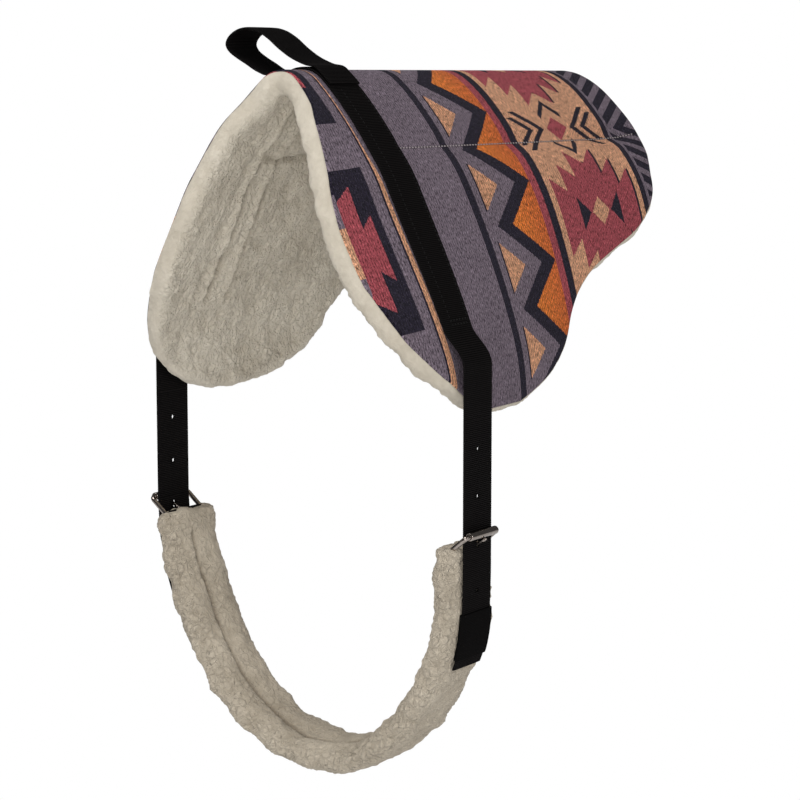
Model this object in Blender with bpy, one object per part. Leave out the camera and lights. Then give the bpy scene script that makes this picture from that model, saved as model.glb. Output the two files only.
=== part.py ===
"""Bareback pad: a woven top over felt and fleece, with a handle, billets and a fleece girth.

The frame has +X to the near side, +Y to the rear and +Z up. The origin lies on the
fleece underside, on the centre line, where the webbing strap crosses the back.
"""
import math

import bmesh
import bpy
import numpy as np
from mathutils import Vector

# Pad, measured along its outer face
SPINE_LENGTH = 0.548
STRAP_SETBACK = 0.063
FLAP_ARC = 0.395
FRONT_REACH = 0.045
COVER_THICKNESS = 0.002
FELT_THICKNESS = 0.009
FLEECE_THICKNESS = 0.0122
LAYER_GAP = 0.0004
BINDING_INSET = 0.005
BINDING_DROP = 0.0012
FELT_INSET = 0.014
SEAM_SPREAD = 0.012
TUCK_START = 0.030
TUCK_SPREAD = 0.075

# Webbing, strap and handle
WEBBING_WIDTH = 0.050
WEBBING_THICKNESS = 0.0026
SEATING_GAP = 0.0004
STRAP_LIFT = 0.0058
HANDLE_SPAN = 0.110
HANDLE_RISE = 0.045

# Billets and buckles
BILLET_LENGTH = 0.1112
HOLE_DIAMETER = 0.006
HOLE_PITCH = 0.0465
FIRST_HOLE_DROP = 0.0282
TONGUE_HOLE_DIAMETER = 0.0082
BAR_DIAMETER = 0.0050
ROLLER_DIAMETER = 0.0082
ROLLER_BORE = 0.0058
ROLLER_CLEARANCE = 0.0006
BUCKLE_SIDE_CLEARANCE = 0.0012
BUCKLE_CORNER_RADIUS = 0.0050
TONGUE_THICKNESS = 0.0034
TONGUE_WIDTH = 0.0044
TONGUE_EYE_WALL = 0.0024
HEEL_BAR_DEPTH = 0.0032
CHAPE_CLEARANCE = 0.0007
CHAPE_SLOT_WIDTH = 0.0070
CHAPE_LENGTH = 0.040
CHAPE_LEG_START = 0.018

# Girth
GIRTH_WIDTH = 0.078
GIRTH_THICKNESS = 0.025
GIRTH_DROP = 0.2345
GIRTH_TOP_GAP = 0.0151
GIRTH_END_SLANT = 0.0045
TUNNEL_WIDTH = 0.065
TUNNEL_THICKNESS = 0.0142
FOAM_WIDTH = 0.058
FOAM_THICKNESS = 0.0046
GIRTH_STATION_PITCH = 0.021
KEEPER_THICKNESS = 0.0012
KEEPER_LENGTH = 0.043
KEEPER_TOP = 0.0615
TAIL_OVERHANG = 0.009

CUT_OVERRUN = 0.004

# Slope of the outer face in degrees by share of the flap arc: in front, at the rear, what the
# tuck of the front edge adds and what the knee at the seam adds
SEAM_SHARE = 0.285
SEAM_KNEE_SHARE = 0.004
SEAM_DRIFT_SHARE = 0.03
SEAM_FADE_SHARE = 0.6
SLOPE_SHARES = (
    (0.0, 0.0, 0.0, 0.0, 0.0),
    (0.064, 45.0, 25.0, 0.0, 0.0),
    (0.154, 50.2, 46.0, 2.3, 0.0),
    (SEAM_SHARE - SEAM_KNEE_SHARE, 55.9, 48.0, 10.6, 6.0),
    (SEAM_SHARE + SEAM_KNEE_SHARE, 56.4, 47.0, 10.6, -16.0),
    (0.345, 59.5, 49.0, 4.2, 0.0),
    (0.40, 65.9, 56.0, 2.8, 0.0),
    (0.513, 62.0, 74.0, 1.1, 0.0),
    (0.667, 62.4, 83.0, 0.0, 0.0),
    (0.82, 67.3, 87.0, 0.0, 0.0),
    (0.90, 79.0, 88.0, 0.0, 0.0),
    (1.0, 88.0, 90.0, 0.0, 0.0),
)
# How strongly the seam shows, by share of the way from the front to the rear
SEAM_STRENGTH_SHARES = ((0.0, 0.0), (0.15, 0.1), (0.55, 0.6), (0.85, 1.0), (0.93, 0.9), (1.0, 0.0))
SEAM_SQUEEZE_SHARE = 0.30

# Outline of one half laid flat: arc share, then reach share ahead of the strap or behind it
FRONT_EDGE_SHARES = (
    (0.0, 0.0), (0.127, 0.17), (0.20, 0.45), (0.284, 0.64), (0.388, 0.89), (0.456, 0.975),
    (0.524, 1.0), (0.58, 0.99), (0.62, 0.96), (0.655, 0.86), (0.73, 0.61), (0.795, 0.32),
    (0.877, -0.26), (0.943, -0.98), (0.979, -1.55), (1.0, -2.24),
)
REAR_EDGE_SHARES = (
    (0.0, 1.0), (0.128, 1.012), (0.22, 1.02), (0.285, 1.018), (0.383, 0.992), (0.455, 0.958),
    (0.526, 0.931), (0.58, 0.880), (0.62, 0.817), (0.656, 0.719), (0.692, 0.621), (0.732, 0.547),
    (0.797, 0.480), (0.878, 0.426), (0.943, 0.351), (0.979, 0.271), (1.0, 0.206),
)
ROW_SHARES = (
    0.06, 0.13, 0.20, SEAM_SHARE - 0.038, SEAM_SHARE, SEAM_SHARE + 0.038, 0.39, 0.46, 0.53,
    0.585, 0.625, 0.66, 0.695, 0.735, 0.80, 0.88, 0.945, 0.98, 1.0,
)
STRAP_COLUMN_SHARES = (0.05, 0.20)
REAR_COLUMN_SHARES = (0.33, 0.67, 0.92)
STRAP_END_SHARE = 0.945
STRAP_FREE_SHARES = (0.775, 0.87)

# Rolled fleece edge: inset share of the felt inset, depth share of the pad thickness
ROLL_SHARES = ((0.43, 0.95), (0.11, 0.77), (0.0, 0.50), (0.09, 0.23), (0.31, 0.065))

# Handle loop, from its near root over the top to its fold on the far side
HANDLE_SHARES = (
    (0.145, 0.07), (0.03, 0.13), (-0.12, 0.29), (-0.255, 0.51), (-0.38, 0.76), (-0.50, 0.93),
    (-0.62, 1.0), (-0.73, 0.95), (-0.82, 0.80), (-0.855, 0.62), (-0.82, 0.45),
    (-0.73, 0.29), (-0.63, 0.15), (-0.53, 0.0), (-0.44, -0.10), (-0.386, -0.164),
)
HANDLE_FOLD_ARC_SHARE = 0.103
HANDLE_FOLD_DEGREES = (105, 70, 35, 0)

# Girth centre line from the far end to the near end: width share, depth share
GIRTH_SHARES = (
    (-1.0, 0.0), (-0.987, 0.09), (-0.95, 0.20), (-0.885, 0.345), (-0.80, 0.49), (-0.70, 0.62),
    (-0.57, 0.75), (-0.385, 0.88), (-0.15, 0.965), (0.10, 1.0), (0.335, 0.975), (0.51, 0.905),
    (0.645, 0.815), (0.74, 0.73), (0.81, 0.655), (0.865, 0.58), (0.925, 0.50), (0.965, 0.42),
    (0.990, 0.31), (0.999, 0.15), (1.0, 0.0),
)
GIRTH_SECTION_SHARES = (
    (0.0, -0.78), (0.08, -1.0), (0.62, -0.98), (0.88, -0.78), (1.0, -0.30),
    (1.0, 0.30), (0.88, 0.78), (0.62, 1.0),
)
TUNNEL_SECTION_SHARES = (
    (0.0, -1.0), (0.10, -1.0), (0.70, -1.0), (0.985, -0.93), (1.0, -0.30),
    (1.0, 0.30), (0.985, 0.93), (0.70, 1.0),
)

# Fineness of curves
SLOPE_STEPS = 120
GIRTH_SAMPLES_PER_SPAN = 24
END_ROUND_STEPS = 6
BAR_SIDES = 10
ROLLER_SIDES = 24
HOLE_SIDES = 14
CORNER_STEPS = 4
EYE_STEPS = 16
CHAPE_STEPS = 10
CHAPE_WRAP_DEGREES = (-20, 200)

COVER_BOTTOM = COVER_THICKNESS
FELT_TOP = COVER_BOTTOM + LAYER_GAP
FELT_BOTTOM = FELT_TOP + FELT_THICKNESS
FLEECE_TOP = FELT_BOTTOM + LAYER_GAP
PAD_THICKNESS = FLEECE_TOP + FLEECE_THICKNESS
REAR_REACH = SPINE_LENGTH - STRAP_SETBACK
HALF_WEBBING = WEBBING_WIDTH / 2
LAST_ROW = len(ROW_SHARES)
LAST_COLUMN = len(STRAP_COLUMN_SHARES) + len(REAR_COLUMN_SHARES) + 1
SIDES = (("near", 1), ("far", -1))


def clear_scene():
    for scene_object in list(bpy.data.objects):
        bpy.data.objects.remove(scene_object, do_unlink=True)


def material(name, colour, roughness, metallic=0.0):
    finish = bpy.data.materials.new(name)
    finish.use_nodes = True
    shader = finish.node_tree.nodes["Principled BSDF"]
    shader.inputs["Base Color"].default_value = (*colour, 1.0)
    shader.inputs["Roughness"].default_value = roughness
    shader.inputs["Metallic"].default_value = metallic
    finish.diffuse_color = (*colour, 1.0)
    return finish


def place(name, mesh_builder, finish, origin=(0.0, 0.0, 0.0), smooth_angle=40.0):
    """Make an object from a bmesh in world places, with its origin on its own axis."""
    bmesh.ops.triangulate(mesh_builder, faces=mesh_builder.faces, quad_method="FIXED")
    bmesh.ops.recalc_face_normals(mesh_builder, faces=mesh_builder.faces)
    bmesh.ops.translate(mesh_builder, verts=mesh_builder.verts, vec=-Vector(origin))
    mesh = bpy.data.meshes.new(name)
    mesh_builder.to_mesh(mesh)
    mesh_builder.free()
    mesh.shade_smooth()
    mesh.set_sharp_from_angle(angle=math.radians(smooth_angle))
    mesh.materials.append(finish)
    piece = bpy.data.objects.new(name, mesh)
    piece.location = origin
    bpy.context.scene.collection.objects.link(piece)
    return piece


def smooth_value(table, share):
    """Read a smooth curve through a table of pairs, with slopes taken from the neighbours."""
    keys = [pair[0] for pair in table]
    values = [pair[1] for pair in table]
    span = min(max(np.searchsorted(keys, share) - 1, 0), len(keys) - 2)

    def slope(at):
        low = max(at - 1, 0)
        high = min(at + 1, len(keys) - 1)
        return (values[high] - values[low]) / (keys[high] - keys[low])

    width = keys[span + 1] - keys[span]
    t = (share - keys[span]) / width
    start_pull = slope(span) * width
    end_pull = slope(span + 1) * width
    return ((2 * t ** 3 - 3 * t ** 2 + 1) * values[span] + (t ** 3 - 2 * t ** 2 + t) * start_pull
            + (3 * t ** 2 - 2 * t ** 3) * values[span + 1] + (t ** 3 - t ** 2) * end_pull)


def drifted_share(share, rear_share):
    """An arc share moved with the seam, which runs further from the spine towards the rear."""
    hold = np.interp(share, (0.0, SEAM_SHARE, SEAM_FADE_SHARE), (0.0, 1.0, 0.0))
    return share + SEAM_DRIFT_SHARE * rear_share * float(hold)


def rear_share_at(along):
    return min(max((along + STRAP_SETBACK) / SPINE_LENGTH, 0.0), 1.0)


def seam_strength(rear_share):
    return float(np.interp(rear_share, *zip(*SEAM_STRENGTH_SHARES)))


def pad_section(along, arc):
    """Sideways reach, drop and slope of the outer face at an arc length from the spine."""
    rear_share = rear_share_at(along)
    tuck = min(max((-TUCK_START - along) / TUCK_SPREAD, 0.0), 1.0)
    shares = (1 - rear_share, rear_share, tuck, seam_strength(rear_share))
    keys = [drifted_share(row[0], rear_share) for row in SLOPE_SHARES]
    slopes = [sum(share * degrees for share, degrees in zip(shares, row[1:])) for row in SLOPE_SHARES]
    stops = np.linspace(0.0, abs(arc) / FLAP_ARC, SLOPE_STEPS + 1)
    angles = np.radians(np.interp((stops[1:] + stops[:-1]) / 2, keys, slopes))
    step = abs(arc) / SLOPE_STEPS
    reach = step * float(np.cos(angles).sum())
    drop = step * float(np.sin(angles).sum())
    return reach, drop, math.radians(float(np.interp(stops[-1], keys, slopes)))


def seam_dip(along, arc):
    """How far the stitched seam draws the outer face in."""
    rear_share = rear_share_at(along)
    offset = (abs(arc) - drifted_share(SEAM_SHARE, rear_share) * FLAP_ARC) / SEAM_SPREAD
    return SEAM_SQUEEZE_SHARE * seam_strength(rear_share) * math.exp(-offset ** 2)


def pad_point(along, arc, depth):
    """A point of the pad: place along the back, arc from the spine, depth below the outer face."""
    reach, drop, slope = pad_section(along, arc)
    squeeze = seam_dip(along, arc)
    middle = PAD_THICKNESS / 2
    if depth > 0:
        depth = middle + (depth - middle) * (1 - squeeze)
    else:
        depth = depth + middle * squeeze
    side = -1 if arc < 0 else 1
    return Vector((side * (reach - depth * math.sin(slope)), along,
                   PAD_THICKNESS - drop - depth * math.cos(slope)))


def row_arc(row, rear_share=0.0):
    share = ROW_SHARES[abs(row) - 1] if row else 0.0
    return math.copysign(drifted_share(share, rear_share) * FLAP_ARC, row)


def front_edge(arc):
    return -STRAP_SETBACK - FRONT_REACH * smooth_value(FRONT_EDGE_SHARES, abs(arc) / FLAP_ARC)


def rear_edge(arc):
    return REAR_REACH * smooth_value(REAR_EDGE_SHARES, abs(arc) / FLAP_ARC)


def column_places(front, rear):
    """Places of the grid columns between the two edges, with two on the strap's own edges."""
    length = rear - front
    strap_front = max(-HALF_WEBBING, front + STRAP_COLUMN_SHARES[0] * length)
    strap_rear = max(HALF_WEBBING, front + STRAP_COLUMN_SHARES[1] * length)
    behind = [strap_rear + share * (rear - strap_rear) for share in REAR_COLUMN_SHARES]
    return [front, strap_front, strap_rear, *behind, rear]


def outline_keys():
    """Grid keys round the pad's outline, in order."""
    rows = list(range(-LAST_ROW, LAST_ROW + 1))
    columns = list(range(1, LAST_COLUMN))
    return ([(row, 0) for row in rows] + [(LAST_ROW, column) for column in columns]
            + [(row, LAST_COLUMN) for row in reversed(rows)]
            + [(-LAST_ROW, column) for column in reversed(columns)])


OUTLINE_KEYS = outline_keys()


def outline_place(key):
    row, column = key
    arc = row_arc(row, 1.0 if column == LAST_COLUMN else 0.0)
    return column_places(front_edge(arc), rear_edge(arc))[column], arc


def inset_outline(inset):
    """The outline moved inward by an inset, as places laid flat."""
    places = [outline_place(key) for key in OUTLINE_KEYS]
    moved = []
    for index, (along, arc) in enumerate(places):
        before = places[index - 1]
        after = places[(index + 1) % len(places)]
        run = (after[0] - before[0], after[1] - before[1])
        length = math.hypot(*run)
        moved.append((along + inset * run[1] / length, arc - inset * run[0] / length))
    return moved


FELT_OUTLINE = dict(zip(OUTLINE_KEYS, inset_outline(FELT_INSET)))


def grid_place(row, column):
    """Flat place of a grid point inside the felt's outline."""
    if (row, column) in FELT_OUTLINE:
        return FELT_OUTLINE[row, column]
    front, rear = FELT_OUTLINE[row, 0], FELT_OUTLINE[row, LAST_COLUMN]
    along = column_places(front[0], rear[0])[column]
    return along, row_arc_at(row, along)


def row_arc_at(row, along):
    front, rear = FELT_OUTLINE[row, 0], FELT_OUTLINE[row, LAST_COLUMN]
    return front[1] + (rear[1] - front[1]) * (along - front[0]) / (rear[0] - front[0])


def padded_sheet(name, rim, finish):
    """One layer of the pad: two faces over the same grid, joined round the edge by the rim.

    The rim is a list of inset and depth, from the lower face's edge to the upper face's edge.
    """
    builder = bmesh.new()
    rings = []
    for inset, depth in rim:
        places = inset_outline(inset)
        rings.append([builder.verts.new(pad_point(along, arc, depth)) for along, arc in places])
    for ring, depth, upward in ((rings[0], rim[0][1], False), (rings[-1], rim[-1][1], True)):
        corners = dict(zip(OUTLINE_KEYS, ring))
        for row in range(-LAST_ROW + 1, LAST_ROW):
            for column in range(1, LAST_COLUMN):
                corners[row, column] = builder.verts.new(pad_point(*grid_place(row, column), depth))
        for row in range(-LAST_ROW, LAST_ROW):
            for column in range(LAST_COLUMN):
                start = corners[row, column]
                side = corners[row + 1, column]
                across = corners[row + 1, column + 1]
                along = corners[row, column + 1]
                quad = (start, side, across, along) if upward else (start, along, across, side)
                builder.faces.new(quad)
    count = len(OUTLINE_KEYS)
    for strip in range(len(rim) - 1):
        lower, upper = rings[strip], rings[strip + 1]
        rises = rim[strip][1] >= rim[strip + 1][1]
        for index in range(count):
            after = (index + 1) % count
            corners = (lower[index], lower[after], upper[after], upper[index])
            # The same diagonal on facing walls keeps their gap even
            start = 0 if rises else 1
            builder.faces.new([corners[start], corners[start + 1], corners[start + 2]])
            builder.faces.new([corners[start], corners[start + 2], corners[(start + 3) % 4]])
    return place(name, builder, finish, smooth_angle=60.0)


def ribbon(name, stations, finish, origin=(0.0, 0.0, 0.0)):
    """A band with square edges through stations of four corners each, closed at both ends."""
    builder = bmesh.new()
    rings = [[builder.verts.new(corner) for corner in station] for station in stations]
    for before, after in zip(rings, rings[1:]):
        for index in range(4):
            follow = (index + 1) % 4
            builder.faces.new((before[index], before[follow], after[follow], after[index]))
    builder.faces.new(list(reversed(rings[0])))
    builder.faces.new(rings[-1])
    return place(name, builder, finish, origin)


def side_normals(path):
    """Unit normals and mitre lengths of a path of (x, z) points, to the left of its run."""
    normals = []
    for index in range(len(path)):
        before = path[max(index - 1, 0)]
        after = path[min(index + 1, len(path) - 1)]
        here = path[index]
        runs = []
        for start, end in ((before, here), (here, after)):
            length = math.hypot(end[0] - start[0], end[1] - start[1])
            if length > 0:
                runs.append(((end[0] - start[0]) / length, (end[1] - start[1]) / length))
        run = (sum(part[0] for part in runs), sum(part[1] for part in runs))
        length = math.hypot(*run)
        run = (run[0] / length, run[1] / length)
        mitre = 1 / max(run[0] * runs[0][0] + run[1] * runs[0][1], 0.5)
        normals.append((-run[1] * mitre, run[0] * mitre))
    return normals


def path_stations(path, width, thickness, centre=0.0):
    """Stations of a flat band that follows a path in the XZ plane, with its width along Y."""
    stations = []
    for (x, z), (nx, nz) in zip(path, side_normals(path)):
        half = thickness / 2
        left = (x + nx * half, z + nz * half)
        right = (x - nx * half, z - nz * half)
        front, rear = centre - width / 2, centre + width / 2
        stations.append([Vector((left[0], front, left[1])), Vector((left[0], rear, left[1])),
                         Vector((right[0], rear, right[1])), Vector((right[0], front, right[1]))])
    return stations


def prism(outline, front, rear):
    """A closed outline in the XZ plane drawn out along Y, as a bmesh."""
    builder = bmesh.new()
    face = builder.faces.new([builder.verts.new((x, front, z)) for x, z in outline])
    drawn = bmesh.ops.extrude_face_region(builder, geom=[face])
    moved = [part for part in drawn["geom"] if isinstance(part, bmesh.types.BMVert)]
    bmesh.ops.translate(builder, verts=moved, vec=(0.0, rear - front, 0.0))
    bmesh.ops.recalc_face_normals(builder, faces=builder.faces)
    return builder


def cutter(name, builder):
    mesh = bpy.data.meshes.new(name)
    bmesh.ops.recalc_face_normals(builder, faces=builder.faces)
    builder.to_mesh(mesh)
    builder.free()
    guide = bpy.data.objects.new(name, mesh)
    guide.hide_render = True
    guide.display_type = "WIRE"
    bpy.context.scene.collection.objects.link(guide)
    return guide


def cut(piece, guide):
    tool = piece.modifiers.new(guide.name, "BOOLEAN")
    tool.operation = "DIFFERENCE"
    tool.solver = "EXACT"
    tool.object = guide


def rod_builder(start, end, diameter, sides):
    """A closed round rod between two points, as a bmesh."""
    builder = bmesh.new()
    axis = Vector(end) - Vector(start)
    bmesh.ops.create_cone(builder, cap_ends=True, segments=sides, radius1=diameter / 2,
                          radius2=diameter / 2, depth=axis.length)
    turn = Vector((0.0, 0.0, 1.0)).rotation_difference(axis)
    bmesh.ops.rotate(builder, verts=builder.verts, matrix=turn.to_matrix())
    bmesh.ops.translate(builder, verts=builder.verts, vec=(Vector(start) + Vector(end)) / 2)
    return builder


def punch_holes(piece, name, places, diameter):
    """Punch round holes through a band, each from a point on its middle and its face normal."""
    for index, (point, normal) in enumerate(places):
        reach = normal * (WEBBING_THICKNESS / 2 + CUT_OVERRUN)
        punch = rod_builder(point - reach, point + reach, diameter, HOLE_SIDES)
        cut(piece, cutter(f"{name}_punch_{index + 1}", punch))


def strap_face(arc, along, height):
    """A point a height above the strap's underside, which leaves the cover to hang straight down."""
    start, end = STRAP_FREE_SHARES
    free = min(max((abs(arc) / FLAP_ARC - start) / (end - start), 0.0), 1.0)
    free = free * free * (3 - 2 * free)
    seated = pad_point(along, arc, -(SEATING_GAP + height))
    hanging = math.copysign(HANG_REACH - WEBBING_THICKNESS / 2 + height, arc)
    return Vector((seated.x + (hanging - seated.x) * free, seated.y, seated.z))


def surface_station(arc_front, arc_rear, low, high):
    """A strap station on the pad, with its two edges on the same grid row."""
    return [strap_face(arc_front, -HALF_WEBBING, low), strap_face(arc_rear, HALF_WEBBING, low),
            strap_face(arc_rear, HALF_WEBBING, high), strap_face(arc_front, -HALF_WEBBING, high)]


def row_station(row, low, high):
    if abs(row) < LAST_ROW - 3:
        return surface_station(row_arc_at(row, -HALF_WEBBING), row_arc_at(row, HALF_WEBBING), low, high)
    return surface_station(row_arc(row), row_arc(row), low, high)


# Where the billets hang: just outside the flap's lower edge
STRAP_END_ARC = STRAP_END_SHARE * FLAP_ARC
HANG_REACH = pad_section(0.0, STRAP_END_ARC)[0] + STRAP_LIFT + SEATING_GAP + WEBBING_THICKNESS / 2
HINGE_HEIGHT = PAD_THICKNESS - pad_section(0.0, FLAP_ARC)[1]
ROLLER_HEIGHT = HINGE_HEIGHT - BILLET_LENGTH
ROLLER_OFFSET = WEBBING_THICKNESS / 2 + ROLLER_CLEARANCE + ROLLER_DIAMETER / 2
ROLLER_REACH = HANG_REACH + ROLLER_OFFSET
TAIL_OFFSET = SEATING_GAP + KEEPER_THICKNESS + SEATING_GAP + WEBBING_THICKNESS / 2
GIRTH_REACH = HANG_REACH - TAIL_OFFSET - GIRTH_THICKNESS / 2
GIRTH_TOP = ROLLER_HEIGHT - GIRTH_TOP_GAP


def girth_curve():
    """Closely spaced points of the girth's centre line, from the far end to the near end."""
    corners = [Vector((across * GIRTH_REACH, GIRTH_TOP - down * GIRTH_DROP))
               for across, down in GIRTH_SHARES]
    padded = [corners[0] * 2 - corners[1], *corners, corners[-1] * 2 - corners[-2]]
    points = []
    for index in range(1, len(padded) - 2):
        p0, p1, p2, p3 = padded[index - 1:index + 3]
        for step in range(GIRTH_SAMPLES_PER_SPAN):
            t = step / GIRTH_SAMPLES_PER_SPAN
            points.append(0.5 * (2 * p1 + (p2 - p0) * t + (2 * p0 - 5 * p1 + 4 * p2 - p3) * t ** 2
                                 + (3 * p1 - p0 - 3 * p2 + p3) * t ** 3))
    points.append(corners[-1])
    return points


GIRTH_CURVE = girth_curve()
GIRTH_RUNS = [0.0]
for before_point, after_point in zip(GIRTH_CURVE, GIRTH_CURVE[1:]):
    GIRTH_RUNS.append(GIRTH_RUNS[-1] + (after_point - before_point).length)
GIRTH_LENGTH = GIRTH_RUNS[-1]


def girth_frame(distance):
    """Centre and outward normal of the girth, as (x, z), at a distance from its far end."""
    run = min(max(distance, 0.0), GIRTH_LENGTH)
    span = min(max(int(np.searchsorted(GIRTH_RUNS, run)) - 1, 0), len(GIRTH_CURVE) - 2)
    start, end = GIRTH_CURVE[span], GIRTH_CURVE[span + 1]
    tangent = (end - start).normalized()
    centre = start + tangent * (distance - GIRTH_RUNS[span])
    return centre, Vector((tangent.y, -tangent.x))


def girth_distance(side, run):
    """Distance from the far end of a place that lies a run below one side's end."""
    return GIRTH_LENGTH - run if side > 0 else run


def girth_point(distance, along, height):
    """A point of the girth: distance from the far end, place along Y, height off its middle."""
    centre, outward = girth_frame(distance)
    spot = centre + outward * height
    return Vector((spot.x, along, spot.y))


def girth_runs():
    """Runs from either end at which the girth's pieces have their stations."""
    ends = [0.0, KEEPER_TOP / 3, KEEPER_TOP * 2 / 3, KEEPER_TOP, KEEPER_TOP + KEEPER_LENGTH / 2,
            KEEPER_TOP + KEEPER_LENGTH, KEEPER_TOP + KEEPER_LENGTH + TAIL_OVERHANG]
    middle = GIRTH_LENGTH - 2 * ends[-1]
    count = max(round(middle / GIRTH_STATION_PITCH), 2)
    between = [ends[-1] + middle * step / count for step in range(1, count)]
    return ends + between + [GIRTH_LENGTH - run for run in reversed(ends)]


GIRTH_STATIONS = girth_runs()


def mirrored_section(shares):
    """A closed section from its half: points on the centre line are not doubled."""
    other = [(-across, height) for across, height in reversed(shares) if across > 0]
    return list(shares) + other


def girth_ring(distance, shares, width, thickness, slant=0.0):
    """One ring of the girth, leaned at the ends so that the outer side stands lower."""
    ring = []
    for across, height in mirrored_section(shares):
        run = distance + slant * height * thickness / GIRTH_THICKNESS
        point = girth_point(distance, across * width / 2, height * thickness / 2)
        centre, outward = girth_frame(distance)
        along_run = Vector((-outward.y, outward.x)) * (run - distance)
        ring.append(point + Vector((along_run.x, 0.0, along_run.y)))
    return ring


def hollow_tube(name, outer_rings, inner_rings, finish):
    """A tube with a wall between two sets of rings, open at both ends."""
    builder = bmesh.new()
    outer = [[builder.verts.new(point) for point in ring] for ring in outer_rings]
    inner = [[builder.verts.new(point) for point in ring] for ring in inner_rings]
    count = len(outer[0])
    for index in range(count):
        after = (index + 1) % count
        for first, second in zip(outer, outer[1:]):
            builder.faces.new((first[index], first[after], second[after], second[index]))
        for first, second in zip(inner, inner[1:]):
            builder.faces.new((first[after], first[index], second[index], second[after]))
        builder.faces.new((inner[0][index], inner[0][after], outer[0][after], outer[0][index]))
        builder.faces.new((outer[-1][index], outer[-1][after], inner[-1][after], inner[-1][index]))
    return place(name, builder, finish, smooth_angle=50.0)


def half_round(centre, radius, start_degrees):
    """Points of a half circle in the XZ plane."""
    return [(centre[0] + radius * math.cos(math.radians(start_degrees + 180 * step / END_ROUND_STEPS)),
             centre[1] + radius * math.sin(math.radians(start_degrees + 180 * step / END_ROUND_STEPS)))
            for step in range(END_ROUND_STEPS + 1)]


def make_pad():
    cover = material("woven_cover", (0.17, 0.13, 0.15), 0.9)
    felt = material("felt", (0.55, 0.53, 0.48), 0.95)
    fleece = material("fleece", (0.77, 0.74, 0.62), 0.95)
    padded_sheet("top_cover", [(FELT_INSET, COVER_BOTTOM), (BINDING_INSET, COVER_BOTTOM + BINDING_DROP),
                               (BINDING_INSET, BINDING_DROP), (FELT_INSET, 0.0)], cover)
    padded_sheet("felt_core", [(FELT_INSET, FELT_BOTTOM), (FELT_INSET, FELT_TOP)], felt)
    lip = BINDING_INSET - LAYER_GAP
    pocket = FELT_INSET - LAYER_GAP
    roll = [(inset * FELT_INSET, depth * PAD_THICKNESS) for inset, depth in ROLL_SHARES]
    roll[-1] = (lip, roll[-1][1])
    rim = [(FELT_INSET, PAD_THICKNESS), *roll, (lip, COVER_BOTTOM + BINDING_DROP + LAYER_GAP),
           (pocket, COVER_BOTTOM + LAYER_GAP), (pocket, FLEECE_TOP)]
    padded_sheet("fleece_lining", rim, fleece)


def make_over_strap(webbing):
    """The strap sewn over the pad, from one billet hinge to the other."""
    stations = [row_station(row, 0.0, WEBBING_THICKNESS) for row in range(-LAST_ROW + 2, LAST_ROW - 1)]
    end_height = HINGE_HEIGHT + WEBBING_THICKNESS / 2 + SEATING_GAP
    inner_reach = HANG_REACH - WEBBING_THICKNESS / 2
    outer_reach = HANG_REACH + WEBBING_THICKNESS / 2
    ends = []
    for side in (-1, 1):
        corners = ((inner_reach, -HALF_WEBBING), (inner_reach, HALF_WEBBING),
                   (outer_reach, HALF_WEBBING), (outer_reach, -HALF_WEBBING))
        ends.append([Vector((side * reach, along, end_height)) for reach, along in corners])
    ribbon("over_strap", [ends[0], *stations, ends[1]], webbing)


def make_handle(webbing):
    """The hand loop: both ends lie sewn on the strap, and the loop leans to the far side."""
    low = WEBBING_THICKNESS + SEATING_GAP
    high = low + WEBBING_THICKNESS
    near = [row_station(row, low, high) for row in (2, 1)]
    far = [row_station(row, low, high) for row in (-2, -3)]
    path = [(across * HANDLE_SPAN, PAD_THICKNESS + rise * HANDLE_RISE) for across, rise in HANDLE_SHARES]
    root = strap_face(-HANDLE_FOLD_ARC_SHARE * FLAP_ARC, 0.0, low + WEBBING_THICKNESS / 2)
    near_middle = (near[-1][0] + near[-1][2]) / 2
    far_middle = (far[0][0] + far[0][2]) / 2
    run = (far_middle - Vector((root.x, far_middle.y, root.z))).normalized()
    radius = WEBBING_THICKNESS
    hub = (root.x + run.z * radius, root.z - run.x * radius)
    fold = []
    for degrees in HANDLE_FOLD_DEGREES:
        turn = math.radians(degrees)
        fold.append((hub[0] - radius * (run.z * math.cos(turn) + run.x * math.sin(turn)),
                     hub[1] + radius * (run.x * math.cos(turn) - run.z * math.sin(turn))))
    run = [(near_middle.x, near_middle.z), *path, *fold, (far_middle.x, far_middle.z)]
    loop = path_stations(run, WEBBING_WIDTH, WEBBING_THICKNESS)[1:-1]
    return ribbon("handle_loop", [*near, *loop, *far], webbing)


def make_billet(name, side, webbing):
    """The hanging stretch of webbing, round at both ends about its two pivots."""
    x = side * HANG_REACH
    radius = WEBBING_THICKNESS / 2
    outline = half_round((x, HINGE_HEIGHT), radius, 0) + half_round((x, ROLLER_HEIGHT), radius, 180)
    piece = place(f"{name}_billet", prism(outline, -HALF_WEBBING, HALF_WEBBING), webbing,
                  origin=(x, 0.0, HINGE_HEIGHT))
    normal = Vector((1.0, 0.0, 0.0))
    first_hole = HINGE_HEIGHT - FIRST_HOLE_DROP
    holes = [(Vector((x, 0.0, first_hole - HOLE_PITCH * index)), normal) for index in (0, 1)]
    punch_holes(piece, f"{name}_billet", holes, HOLE_DIAMETER)


def tail_path(side):
    """Middle of the billet's tail: straight below the roller, then along the girth's outer side."""
    top = (side * HANG_REACH, ROLLER_HEIGHT - WEBBING_THICKNESS / 2 - SEATING_GAP)
    tail_end = KEEPER_TOP + KEEPER_LENGTH + TAIL_OVERHANG
    runs = [run for run in GIRTH_STATIONS if KEEPER_TOP / 3 <= run <= tail_end]
    path = [top]
    for run in runs:
        point = girth_point(girth_distance(side, run), 0.0, GIRTH_THICKNESS / 2 + TAIL_OFFSET)
        path.append((point.x, point.z))
    return path


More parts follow.
